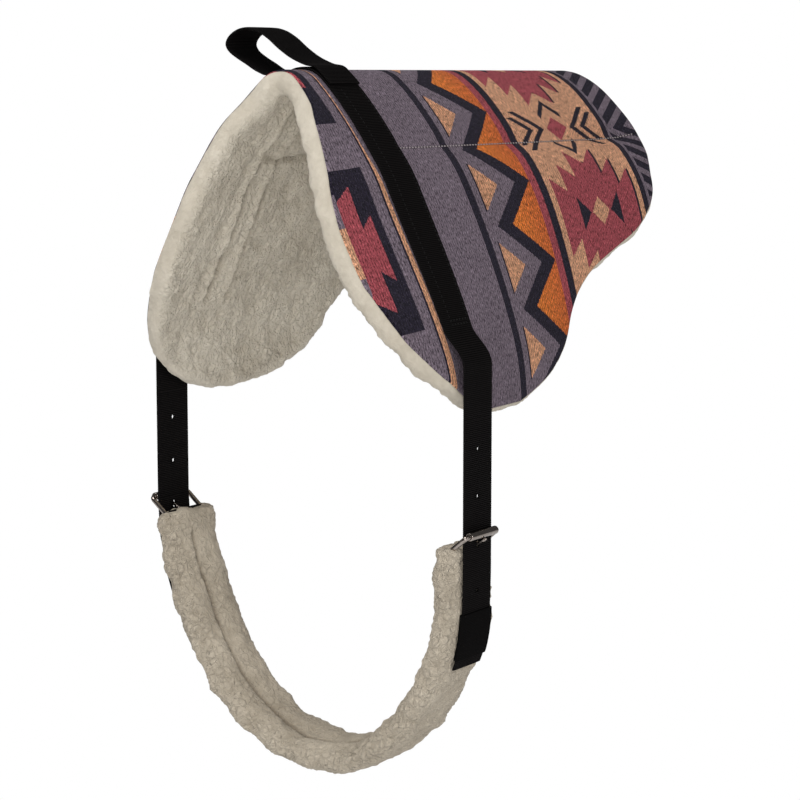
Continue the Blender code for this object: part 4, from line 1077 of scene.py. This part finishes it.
for name, side in SIDES:
    x = side * HANG_REACH
    top, bottom = (x, HINGE_HEIGHT), (x, ROLLER_HEIGHT - WEBBING_THICKNESS / 2)
    length, place = path_place(np.array([top, bottom]))
    billet = band(f"{name}_billet_webbing", length, place)
    billet.data.materials.append(black_webbing)
    first_hole = HINGE_HEIGHT - FIRST_HOLE_DROP
    for height in (first_hole, first_hole - HOLE_PITCH):
        punch(billet, (x, 0.0, height), (1.0, 0.0, 0.0), HOLE_DIAMETER, HOLE_DIAMETER)
    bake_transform(billet)
    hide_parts(f"{name}_billet")


# Girth. A fleece sleeve 78 mm wide is sewn shut round a webbing strap and a foam strip, with its
# butt seam down the inner face. Its ends are closed over the fold that holds each buckle.
GIRTH_WIDTH = 0.078
GIRTH_THICKNESS = 0.025
PILE_SWELL = 0.0022
GIRTH_DROP = 0.2345
GIRTH_SHARES = (
    (-1.0, 0.0), (-0.987, 0.09), (-0.95, 0.20), (-0.885, 0.345), (-0.80, 0.49), (-0.70, 0.62),
    (-0.57, 0.75), (-0.385, 0.88), (-0.15, 0.965), (0.10, 1.0), (0.335, 0.975), (0.51, 0.905),
    (0.645, 0.815), (0.74, 0.73), (0.81, 0.655), (0.865, 0.58), (0.925, 0.50), (0.965, 0.42),
    (0.990, 0.31), (0.999, 0.15), (1.0, 0.0),
)
GIRTH_TOP_GAP = 0.0151
TAIL_OFFSET = 0.0033
GIRTH_REACH = HANG_REACH - TAIL_OFFSET - GIRTH_THICKNESS / 2
GIRTH_TOP = ROLLER_HEIGHT - GIRTH_TOP_GAP
GIRTH_CELL = 0.0023
GIRTH_SIDES = 128
GIRTH_END_ROUND = 0.0045
GIRTH_END_FLUFF = 0.003
END_WIDTH_SHARE = 0.94
END_HEIGHT_SHARE = 0.05
SLEEVE_SQUARENESS = 1.3
SLEEVE_SIDE_DRAW = 0.09
SLEEVE_FACE_DRAW = 0.42
EDGE_PLACE = 0.026
EDGE_EASING = 0.008
FACE_FULLNESS = 0.72
BUTT_SEAM_WIDTH = 0.0022
BUTT_SEAM_OFFSET = 0.008
BUTT_SEAM_START = 0.022
BUTT_SEAM_EASING = 0.006
BUTT_SEAM_WANDER = 0.002
BUTT_SEAM_WAVES = 45
BUTT_SEAM_SHARE = 0.6
# The girth's two colours: the pale one is painted light on the high pile, the dark one is painted shade in
# its hollows and seam groove and also random mottle
GIRTH_TIPS = (0.56, 0.491, 0.391)
GIRTH_PAINTED_SHADE_AND_MOTTLE = (0.28, 0.232, 0.171)
INNER_FACE_HEIGHT = 0.004
SLEEVE_STEPS = 900
SLEEVE_CELL = 0.0045
SIMULATED_FRAMES = 20
INNER_SWELL = 0.003
OUTER_SWELL = 0.001

girth_points = smooth_path([(across * GIRTH_REACH, GIRTH_TOP - down * GIRTH_DROP)
                            for across, down in GIRTH_SHARES])
girth_length, girth_place = path_place(girth_points)


def along_girth(runs, height=0.0):
    """Points on the girth's centre line at runs from its far end, or at a height towards the pad."""
    return girth_place(np.asarray(runs), np.zeros(len(runs)), np.full(len(runs), height))


def girth_section(angle, run):
    """A flat oval that closes in a rounded end at both ends of the sleeve."""
    run_in = np.minimum(run, sleeve_length - run)
    close = np.sqrt(1 - np.clip(1 - run_in / GIRTH_END_ROUND, 0.0, 1.0) ** 2)
    cosine, sine = np.cos(angle), SLEEVE_SQUARENESS * np.sin(angle)
    reach = np.maximum(np.abs(cosine), np.abs(sine))
    x, y = cosine / reach, sine / reach
    across = x * (1 - SLEEVE_SIDE_DRAW * y ** 4) * (GIRTH_WIDTH / 2 + PILE_SWELL)
    height = y * (1 - SLEEVE_FACE_DRAW * x ** 6) * (GIRTH_THICKNESS / 2 + PILE_SWELL * (sine > 0))
    return (across * (END_WIDTH_SHARE + (1 - END_WIDTH_SHARE) * close),
            height * (END_HEIGHT_SHARE + (1 - END_HEIGHT_SHARE) * close))


def sleeve_place(run, across, height):
    """The girth's path, carried on a little past both ends by the fluffy pile there."""
    at = np.clip(run - GIRTH_END_FLUFF, 0.0, girth_length)
    beyond = np.abs(run - GIRTH_END_FLUFF - at)
    return girth_place(at, across, height) + np.stack([0 * beyond, 0 * beyond, beyond], axis=-1)


sleeve_length = girth_length + 2 * GIRTH_END_FLUFF
girth = swept("girth_fleece_pile", sleeve_length, round(sleeve_length / GIRTH_CELL), GIRTH_SIDES,
              girth_section, sleeve_place)


def sleeve_places(spots):
    """Run, place across and side for points of the sleeve: the nearest step of its path for each."""
    runs = np.linspace(0.0, sleeve_length, SLEEVE_STEPS)
    flat = np.zeros_like(runs)
    middle = sleeve_place(runs, flat, flat)
    up = sleeve_place(runs, flat, flat + 1.0) - middle
    nearest = np.array([np.argmin((middle[:, 0] - x) ** 2 + (middle[:, 2] - z) ** 2) for x, _, z in spots])
    return runs[nearest], spots[:, 1], np.sum((spots - middle[nearest]) * up[nearest], axis=1)


def spots_of(mesh):
    spots = np.zeros(len(mesh.vertices) * 3)
    mesh.vertices.foreach_get("co", spots)
    return spots.reshape(-1, 3)


def remeshed(piece, cell):
    """Give a piece an even mesh of one cell size."""
    even = piece.modifiers.new("even", "REMESH")
    even.mode = "VOXEL"
    even.voxel_size = cell
    settle(piece)


def filled(piece, held, reach):
    """Let the fabric swell as cloth under its filling's pressure, held at weights from 0 to 1.

    No point moves further than its own reach.
    """
    rest = spots_of(piece.data)
    pins = piece.vertex_groups.new(name="held")
    for index, weight in enumerate(held):
        pins.add([index], float(weight), "REPLACE")
    cloth = piece.modifiers.new("filling", "CLOTH")
    cloth.settings.quality = 6
    cloth.settings.mass = 0.3
    cloth.settings.tension_stiffness = 12.0
    cloth.settings.compression_stiffness = 12.0
    cloth.settings.bending_stiffness = 0.4
    cloth.settings.use_pressure = True
    cloth.settings.uniform_pressure_force = 4.0
    cloth.settings.vertex_group_mass = "held"
    cloth.settings.effector_weights.gravity = 0.0
    cloth.collision_settings.use_collision = False
    cloth.point_cache.frame_start = 1
    cloth.point_cache.frame_end = SIMULATED_FRAMES
    for frame_number in range(1, SIMULATED_FRAMES + 1):
        bpy.context.scene.frame_set(frame_number)
    swollen = spots_of(evaluated(piece))
    piece.modifiers.clear()
    piece.vertex_groups.clear()
    bpy.context.scene.frame_set(1)
    move = swollen - rest
    far = np.linalg.norm(move, axis=1)
    move *= (np.minimum(far, reach) / np.maximum(far, 1e-9))[:, None]
    piece.data.vertices.foreach_set("co", (rest + move).ravel())
    piece.data.update()


def subdivided(piece):
    finer = piece.modifiers.new("finer", "SUBSURF")
    finer.levels = finer.render_levels = 1
    settle(piece)
    piece.data.shade_smooth()


remeshed(girth, SLEEVE_CELL)
run, across, height = sleeve_places(spots_of(girth.data))
seam_hold = ridge(across + BUTT_SEAM_OFFSET, SLEEVE_CELL) * (height > 0)
end_hold = np.minimum(run, sleeve_length - run) < BUTT_SEAM_START
filled(girth, np.maximum(seam_hold, end_hold), np.where(height > 0, INNER_SWELL, OUTER_SWELL))
subdivided(girth)


def girth_groove(across, run, inner):
    """The butt seam down the inner face, which both ends stop short of."""
    clear = ramp(np.minimum(run, sleeve_length - run), BUTT_SEAM_START, BUTT_SEAM_EASING)
    middle = BUTT_SEAM_OFFSET + BUTT_SEAM_WANDER * np.sin(run * BUTT_SEAM_WAVES)
    return ridge(across + middle, BUTT_SEAM_WIDTH) * clear * inner * BUTT_SEAM_SHARE


run, across, height = sleeve_places(spots_of(girth.data))
fullness = FACE_FULLNESS + (1 - FACE_FULLNESS) * ramp(np.abs(across), EDGE_PLACE, EDGE_EASING)
raise_pile(girth, girth_groove(across, run, height > INNER_FACE_HEIGHT), fullness)
girth.data.materials.append(fleece_finish("girth_pile", GIRTH_TIPS, GIRTH_PAINTED_SHADE_AND_MOTTLE, 1.4))
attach(girth, "girth")
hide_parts("girth_fleece")


# Billet tails. Below the roller each billet lies down the outside of the girth, with the hole
# that the tongue goes through and one spare, and ends square just below its keeper.
KEEPER_LENGTH = 0.043
KEEPER_TOP = 0.0615
TAIL_OVERHANG = 0.009
TAIL_START = 0.0205
TAIL_END = KEEPER_TOP + KEEPER_LENGTH + TAIL_OVERHANG
TAIL_DEPTH = GIRTH_THICKNESS / 2 + TAIL_OFFSET
TAIL_POINTS = 12
HEEL_BAR_DEPTH = 0.0032
ROLLER_REACH = (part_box("near_buckle_roller")[0].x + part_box("near_buckle_roller")[1].x) / 2
ROLLER_DIAMETER = 0.0082
TONGUE_THICKNESS = 0.0034
TONGUE_WIDTH = 0.0044
TONGUE_HOLE_WIDTH = 0.0052
TONGUE_HOLE_LENGTH = 0.0086


def from_end(side, depth):
    """The girth's run at a depth inside its near or far end."""
    return girth_length - depth if side > 0 else depth


def direction(start, end):
    return (end - start) / np.linalg.norm(end - start)


def buckle_axes(side):
    """The middles of the heel bar and of the roller."""
    heel = along_girth([from_end(side, HEEL_BAR_DEPTH)])[0]
    return heel, np.array([side * ROLLER_REACH, 0.0, ROLLER_HEIGHT])


def tongue_line(side):
    """The heel bar's place, the tongue's direction and its reach to the roller, as the CAD has them."""
    heel, roller = buckle_axes(side)
    reach = float(np.linalg.norm(roller - heel))
    offset = ROLLER_DIAMETER / 2 + SEATING_GAP + TONGUE_THICKNESS / 2
    lean = -side * math.asin(offset / reach)
    x, _, z = direction(heel, roller)
    run = np.array([x * math.cos(lean) - z * math.sin(lean), 0.0, x * math.sin(lean) + z * math.cos(lean)])
    return heel, run, reach * math.cos(lean)


for name, side in SIDES:
    lay = along_girth(from_end(side, np.linspace(TAIL_START, TAIL_END, TAIL_POINTS)), -TAIL_DEPTH)
    top = (side * HANG_REACH, ROLLER_HEIGHT - WEBBING_THICKNESS / 2 - SEATING_GAP)
    path = smooth_path([top, *lay[:, ::2]])
    length, place = path_place(path)
    tail = band(f"{name}_tail_webbing", length, place)
    tail.data.materials.append(black_webbing)
    # The tongue's hole is where the tongue's line crosses the webbing's middle
    heel, lean, _ = tongue_line(side)
    beside = (path[:, 0] - heel[0]) * lean[2] - (path[:, 1] - heel[2]) * lean[0]
    after = np.argmax(beside * beside[0] < 0)
    gone = np.concatenate(([0.0], np.cumsum(np.hypot(*np.diff(path, axis=0).T))))
    share = beside[after - 1] / (beside[after - 1] - beside[after])
    crossing = gone[after - 1] * (1 - share) + gone[after] * share
    for run, width, height in ((crossing, TONGUE_HOLE_WIDTH, TONGUE_HOLE_LENGTH),
                               (crossing + HOLE_PITCH, HOLE_DIAMETER, HOLE_DIAMETER)):
        low, high = place(np.full(2, run), np.zeros(2), np.array([0.0, 1.0]))
        punch(tail, low, high - low, width, height)
    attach(tail, "girth")
    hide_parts(f"{name}_billet_tail")


# Buckle frames. Each is one bent nickel-plated steel wire, 5 mm thick: a heel bar held in the
# girth's end, two side bars that slant up and out, and the bar that carries the roller.
BAR_DIAMETER = 0.0050
FRAME_CLEARANCE = 0.0012
HALF_SPAN = WEBBING_WIDTH / 2 + FRAME_CLEARANCE + BAR_DIAMETER / 2
CORNER_RADIUS = 0.0050
CORNER_STEPS = 10
WIRE_RINGS = 120
WIRE_SIDES = 20
ACROSS = np.array([0.0, 1.0, 0.0])


def nickel_finish():
    """Bright plating with fine hairline wear and a few duller patches."""
    finish, tree, shader, place = new_finish("nickel_plate", 0.20, Metallic=1.0)
    patches = node_noise(tree, place, 240.0, 3.0, 0.6)
    hairlines = node_noise(tree, place, 1500.0, 2.0, 0.7)
    colour = node_mix(tree, patches, (0.52, 0.47, 0.43), (0.30, 0.25, 0.22))
    tree.links.new(colour, shader.inputs["Base Color"])
    tree.links.new(node_bump(tree, hairlines, 0.0001, 0.35), shader.inputs["Normal"])
    return finish


def loop_place(points, facing):
    """The length of a closed flat path, and a function that lays a band or wire round it."""
    ring = np.vstack([points, points[:1]])
    runs = np.concatenate(([0.0], np.cumsum(np.linalg.norm(np.diff(ring, axis=0), axis=1))))
    tangents = np.roll(points, -1, axis=0) - np.roll(points, 1, axis=0)
    outward = np.cross(tangents, facing)
    outward /= np.linalg.norm(outward, axis=1)[:, None]
    outward = np.vstack([outward, outward[:1]])

    def place(run, across, height):
        middle = np.stack([np.interp(run, runs, part) for part in ring.T], axis=-1)
        normal = np.stack([np.interp(run, runs, part) for part in outward.T], axis=-1)
        return middle + across[:, None] * facing + height[:, None] * normal
    return runs[-1], place


def wire_section(angle, run):
    return BAR_DIAMETER / 2 * np.cos(angle), BAR_DIAMETER / 2 * np.sin(angle)


nickel = nickel_finish()
for name, side in SIDES:
    heel, roller = buckle_axes(side)
    rise = direction(heel, roller)
    points = []
    for foot, inward, hand, start in ((heel, 1, -1, 180), (heel, 1, 1, 270),
                                      (roller, -1, 1, 0), (roller, -1, -1, 90)):
        middle = foot + rise * inward * CORNER_RADIUS + ACROSS * hand * (HALF_SPAN - CORNER_RADIUS)
        for turn in np.radians(np.linspace(start, start + 90, CORNER_STEPS)):
            points.append(middle + (ACROSS * math.cos(turn) + rise * math.sin(turn)) * CORNER_RADIUS)
    length, place = loop_place(np.array(points), np.cross(ACROSS, rise))
    wire = swept(f"{name}_buckle_wire", length, WIRE_RINGS, WIRE_SIDES, wire_section, place, closed=True)
    wire.data.materials.append(nickel)
    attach(wire, "girth")
    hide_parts(f"{name}_buckle_frame")


# Rollers. A nickel-plated steel tube turns freely on each frame's outer bar, so that the webbing
# runs over it as the girth is tightened. Its mouths are rounded.
ROLLER_BORE = 0.0058
ROLLER_STEPS = 64
MOUTH_STEPS = 5
SHARP_ANGLE = math.radians(50)
for name, side in SIDES:
    low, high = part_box(f"{name}_buckle_roller")
    x, z, half = (low.x + high.x) / 2, (low.z + high.z) / 2, (high.y - low.y) / 2
    outer, bore = ROLLER_DIAMETER / 2, ROLLER_BORE / 2
    lead = (outer - bore) / 2
    builder = bmesh.new()
    turns = np.linspace(0.0, math.pi / 2, MOUTH_STEPS)
    mouth = [(outer - lead + lead * math.sin(turn), half - lead + lead * math.cos(turn)) for turn in turns]
    other_mouth = [(radius, -along) for radius, along in reversed(mouth)]
    profile = [(bore, half), *mouth, *other_mouth, (bore, -half)]
    verts = [builder.verts.new((x + radius, along, z)) for radius, along in profile]
    edges = [builder.edges.new(pair) for pair in zip(verts, [*verts[1:], verts[0]])]
    bmesh.ops.spin(builder, geom=[*verts, *edges], cent=(x, 0.0, z), axis=(0.0, 1.0, 0.0),
                   angle=2 * math.pi, steps=ROLLER_STEPS, use_merge=True)
    bmesh.ops.recalc_face_normals(builder, faces=builder.faces)
    tube = finished(f"{name}_roller_tube", builder)
    tube.data.set_sharp_from_angle(angle=SHARP_ANGLE)
    tube.data.materials.append(nickel)
    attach(tube, f"{name}_roller")
    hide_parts(f"{name}_buckle_roller")


# Tongues. Each is a nickel-plated rod bent round the heel bar as an eye, which passes through the
# webbing's hole and rests its tapered tip on the roller.
EYE_WALL = 0.0024
EYE_RADIUS = BAR_DIAMETER / 2 + SEATING_GAP + EYE_WALL / 2
EYE_RINGS = 40
SHANK_RINGS = 24
ROD_SIDES = 16
TIP_REACH = ROLLER_DIAMETER / 3
TIP_TAPER = 0.004
TIP_SHARE = 0.02


def joined(name, pieces):
    """One object from the meshes of several, which are then removed."""
    builder = bmesh.new()
    for piece in pieces:
        builder.from_mesh(piece.data)
        bpy.data.objects.remove(piece, do_unlink=True)
    return finished(name, builder)


for name, side in SIDES:
    heel, run, reach = tongue_line(side)
    tip = reach + TIP_REACH
    turns = np.linspace(0, 2 * np.pi, EYE_RINGS, endpoint=False)
    ring = heel + EYE_RADIUS * np.stack([np.cos(turns), 0 * turns, np.sin(turns)], axis=-1)
    length, place = loop_place(ring, ACROSS)

    def eye_section(angle, run):
        return TONGUE_WIDTH / 2 * np.cos(angle), EYE_WALL / 2 * np.sin(angle)

    def shank_section(angle, run):
        size = np.sqrt(np.clip((tip - EYE_RADIUS - run) / TIP_TAPER, TIP_SHARE, 1.0))
        return TONGUE_WIDTH / 2 * np.cos(angle) * size, TONGUE_THICKNESS / 2 * np.sin(angle) * size

    eye = swept("eye", length, EYE_RINGS, ROD_SIDES, eye_section, place, closed=True)
    length, place = path_place(np.array([(heel + run * EYE_RADIUS)[::2], (heel + run * tip)[::2]]))
    shank = swept("shank", length, SHANK_RINGS, ROD_SIDES, shank_section, place)
    tongue = joined(f"{name}_tongue_rod", [eye, shank])
    tongue.data.materials.append(nickel)
    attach(tongue, f"{name}_tongue")
    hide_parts(f"{name}_buckle_tongue")


# Chapes. A short length of webbing folds round each heel bar, with a slot for the tongue, and its
# two legs are sewn to the girth's own strap inside the fleece.
CHAPE_CLEARANCE = 0.0007
CHAPE_SLOT_WIDTH = 0.0070
CHAPE_SLOT_LENGTH = 0.024
CHAPE_SLOT_RISE = 0.002
CHAPE_RUNS = np.array((0.0432, 0.036, 0.029, 0.023, 0.018, 0.0135, 0.010, 0.0075))
CHAPE_DEGREES = np.linspace(-20, 200, 12)
CHAPE_RADIUS = BAR_DIAMETER / 2 + CHAPE_CLEARANCE + WEBBING_THICKNESS / 2
CHAPE_STEPS = 4


for name, side in SIDES:
    heel, _ = buckle_axes(side)
    at = from_end(side, CHAPE_RUNS)
    offset = WEBBING_THICKNESS + SEATING_GAP
    legs = [along_girth(at, hand * offset)[:, ::2] for hand in (1.0, -1.0)]
    upward = direction(*along_girth(at[[-2, -1]]))
    inward = direction(legs[1][-1], legs[0][-1])
    bend = [heel[::2] + CHAPE_RADIUS * (inward * math.cos(turn) + upward[::2] * math.sin(turn))
            for turn in np.radians(CHAPE_DEGREES)]
    length, place = path_place(smooth_path([*legs[0], *bend, *legs[1][::-1]], CHAPE_STEPS))
    chape = band(f"{name}_chape_webbing", length, place)
    chape.data.materials.append(black_webbing)
    builder = bmesh.new()
    bmesh.ops.create_cube(builder, size=1.0)
    slot_size = (CHAPE_SLOT_LENGTH, CHAPE_SLOT_WIDTH, CHAPE_SLOT_LENGTH)
    bmesh.ops.scale(builder, verts=builder.verts, vec=slot_size)
    bmesh.ops.translate(builder, verts=builder.verts, vec=heel + upward * CHAPE_SLOT_RISE)
    cut_away(chape, finished("slot", builder))
    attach(chape, "girth")
    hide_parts(f"{name}_chape")


# Keepers. A loop of black woven elastic 43 mm long is sewn to the outside of the girth and holds
# each billet's tail flat.
KEEPER_THICKNESS = 0.0012
KEEPER_HALF_WIDTH = WEBBING_WIDTH / 2 + SEATING_GAP + KEEPER_THICKNESS / 2
KEEPER_HALF_HEIGHT = WEBBING_THICKNESS / 2 + SEATING_GAP + KEEPER_THICKNESS / 2
KEEPER_SQUARENESS = 1.9
KEEPER_STEPS = 96
KEEPER_RINGS = 160
KEEPER_SIDES = 40
KEEPER_EDGE_ROUNDING = 0.45
KEEPER_FACE_ROUNDING = 0.35
CORD_PITCH = 0.0016


def elastic_finish():
    """Black elastic: matt, with fine raised cords that run round the loop."""
    finish, tree, shader, _ = new_finish("black_elastic", 0.85, Specular_IOR_Level=0.10, IOR=1.25)
    sheet, across, _ = weave_places(tree)
    fuzz = node_noise(tree, sheet, 900.0, 2.0, 0.6)
    colour = node_mix(tree, fuzz, (0.0022, 0.0020, 0.0020), (0.0060, 0.0056, 0.0056))
    relief = node_math(tree, "MULTIPLY_ADD", node_wave(tree, across, CORD_PITCH), 0.5, fuzz)
    tree.links.new(colour, shader.inputs["Base Color"])
    tree.links.new(node_bump(tree, relief, 0.0003, 0.7), shader.inputs["Normal"])
    return finish


def keeper_section(angle, run):
    return (signed_power(np.cos(angle), KEEPER_EDGE_ROUNDING) * KEEPER_LENGTH / 2,
            signed_power(np.sin(angle), KEEPER_FACE_ROUNDING) * KEEPER_THICKNESS / 2)


def keeper_loop():
    """The flat loop that the elastic makes round the tail."""
    turns = np.linspace(0.0, 2 * np.pi, KEEPER_STEPS, endpoint=False)
    x = (np.clip(np.cos(turns) * KEEPER_SQUARENESS, -1, 1) * (KEEPER_HALF_WIDTH - KEEPER_HALF_HEIGHT)
         + KEEPER_HALF_HEIGHT * np.cos(turns))
    return np.stack([x, KEEPER_HALF_HEIGHT * signed_power(np.sin(turns), 0.5), 0 * turns], axis=-1)


elastic = elastic_finish()
for name, side in SIDES:
    loop_length, around = loop_place(keeper_loop(), np.array([0.0, 0.0, 1.0]))
    centre = from_end(side, KEEPER_TOP + KEEPER_LENGTH / 2)

    def keeper_place(run, across, height):
        spot = around(run, np.zeros_like(run), height)
        return girth_place(centre + across, spot[:, 0], spot[:, 1] - TAIL_DEPTH)

    keeper = swept(f"{name}_elastic_keeper", loop_length, KEEPER_RINGS, KEEPER_SIDES, keeper_section,
                   keeper_place, closed=True)
    keeper.data.materials.append(elastic)
    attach(keeper, "girth")
    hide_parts(f"{name}_keeper")


# Inside the girth. A webbing strap carries the pull from buckle to buckle, over a strip of closed
# foam that pads it. Both are sewn up inside the fleece sleeve, so only their solids matter.
strap_finish = grained_finish("inner_webbing", 0.9, (0.010, 0.010, 0.010), (0.004, 0.004, 0.004),
                              (900.0, 2.0, 0.6), 0.0004, Specular_IOR_Level=0.1)
foam_finish = grained_finish("closed_foam", 0.9, (0.34, 0.34, 0.36), (0.22, 0.22, 0.24),
                             (1200.0, 2.0, 0.6), 0.0004, Specular_IOR_Level=0.1)
for node, finish in (("girth_webbing", strap_finish), ("girth_foam", foam_finish)):
    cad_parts[node].data.materials.clear()
    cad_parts[node].data.materials.append(finish)


# Stage, light and camera. A plain white floor a good way below the hanging pad, a large soft key
# from the upper left and a fill from the right.
FLOOR_HEIGHT = -1.0
FLOOR_MIDDLE = (0.0, 0.1, FLOOR_HEIGHT)
FLOOR_SIZE = 6.0
FLOOR_SIDES = 96
FLOOR_GREY = (0.86, 0.86, 0.86, 1.0)
SHADOW_REACH = 0.5
SHADOW_FADE = 5.0
WHITE = (1.0, 1.0, 1.0, 1.0)
AMBIENT = 0.50
MIRRORED = 0.08


def floor_finish():
    finish, tree, shader, place = new_finish("studio_floor", 0.9)
    shader.inputs["Base Color"].default_value = FLOOR_GREY
    length = tree.nodes.new("ShaderNodeVectorMath")
    length.operation = "LENGTH"
    centred = tree.nodes.new("ShaderNodeVectorMath")
    centred.operation = "SUBTRACT"
    tree.links.new(place, centred.inputs[0])
    centred.inputs[1].default_value = FLOOR_MIDDLE
    tree.links.new(centred.outputs[0], length.inputs[0])
    outer = node_math(tree, "MULTIPLY_ADD", length.outputs["Value"], SHADOW_FADE, -SHADOW_REACH * SHADOW_FADE)
    path = tree.nodes.new("ShaderNodeLightPath")
    glow = tree.nodes.new("ShaderNodeEmission")
    mix = tree.nodes.new("ShaderNodeMixShader")
    glowing = node_math(tree, "MULTIPLY", node_clamp(tree, outer), path.outputs["Is Camera Ray"])
    tree.links.new(glowing, mix.inputs[0])
    tree.links.new(shader.outputs[0], mix.inputs[1])
    tree.links.new(glow.outputs[0], mix.inputs[2])
    tree.links.new(mix.outputs[0], tree.nodes["Material Output"].inputs["Surface"])
    return finish


floor_builder = bmesh.new()
bmesh.ops.create_circle(floor_builder, cap_ends=True, segments=FLOOR_SIDES, radius=FLOOR_SIZE)
bmesh.ops.translate(floor_builder, verts=floor_builder.verts, vec=(0.0, 0.0, FLOOR_HEIGHT))
floor = finished("studio_floor", floor_builder)
floor.data.materials.append(floor_finish())

world = bpy.data.worlds.new("studio")
bpy.context.scene.world = world
world.use_nodes = True
sky = world.node_tree
path = sky.nodes.new("ShaderNodeLightPath")
seen = node_math(sky, "MAXIMUM", path.outputs["Is Camera Ray"], path.outputs["Is Transmission Ray"])
strength = node_math(sky, "MULTIPLY_ADD", seen, 1.0 - AMBIENT, AMBIENT)
strength = node_math(sky, "MULTIPLY_ADD", path.outputs["Is Glossy Ray"], MIRRORED - AMBIENT, strength)
sky.links.new(strength, sky.nodes["Background"].inputs["Strength"])
sky.nodes["Background"].inputs["Color"].default_value = WHITE


def soft_lamp(name, location, aim, size, power):
    lamp = bpy.data.lights.new(name, "AREA")
    lamp.shape = "DISK"
    lamp.size = size
    lamp.energy = power
    holder = bpy.data.objects.new(name, lamp)
    holder.location = location
    holder.rotation_euler = (Vector(aim) - Vector(location)).to_track_quat("-Z", "Y").to_euler()
    bpy.context.scene.collection.objects.link(holder)


PAD_MIDDLE = (0.0, 0.1, -0.2)
PAD_TOP = (0.0, 0.1, -0.1)
soft_lamp("key", (1.45, -2.30, 1.3), PAD_MIDDLE, 0.6, 11.0)
soft_lamp("front", (1.55, -2.25, -0.2), PAD_MIDDLE, 0.4, 18.5)
soft_lamp("top", (-0.9, -0.9, 2.5), PAD_TOP, 1.4, 34.0)
soft_lamp("fill", (2.6, -0.8, 0.8), PAD_MIDDLE, 1.6, 9.0)

CAMERA_PLACE = (1.38705, -1.89224, 0.0178)
CAMERA_TILT = math.radians(82.13)
CAMERA_TURN = math.radians(34.22)
LENS_LENGTH = 105.5
SENSOR_WIDTH = 36.0
lens = bpy.data.cameras.new("camera")
lens.lens = LENS_LENGTH
lens.sensor_width = SENSOR_WIDTH
camera = bpy.data.objects.new("camera", lens)
camera.location = CAMERA_PLACE
camera.rotation_euler = (CAMERA_TILT, 0.0, CAMERA_TURN)
bpy.context.scene.collection.objects.link(camera)
bpy.context.scene.camera = camera
bpy.context.scene.view_settings.view_transform = "Standard"
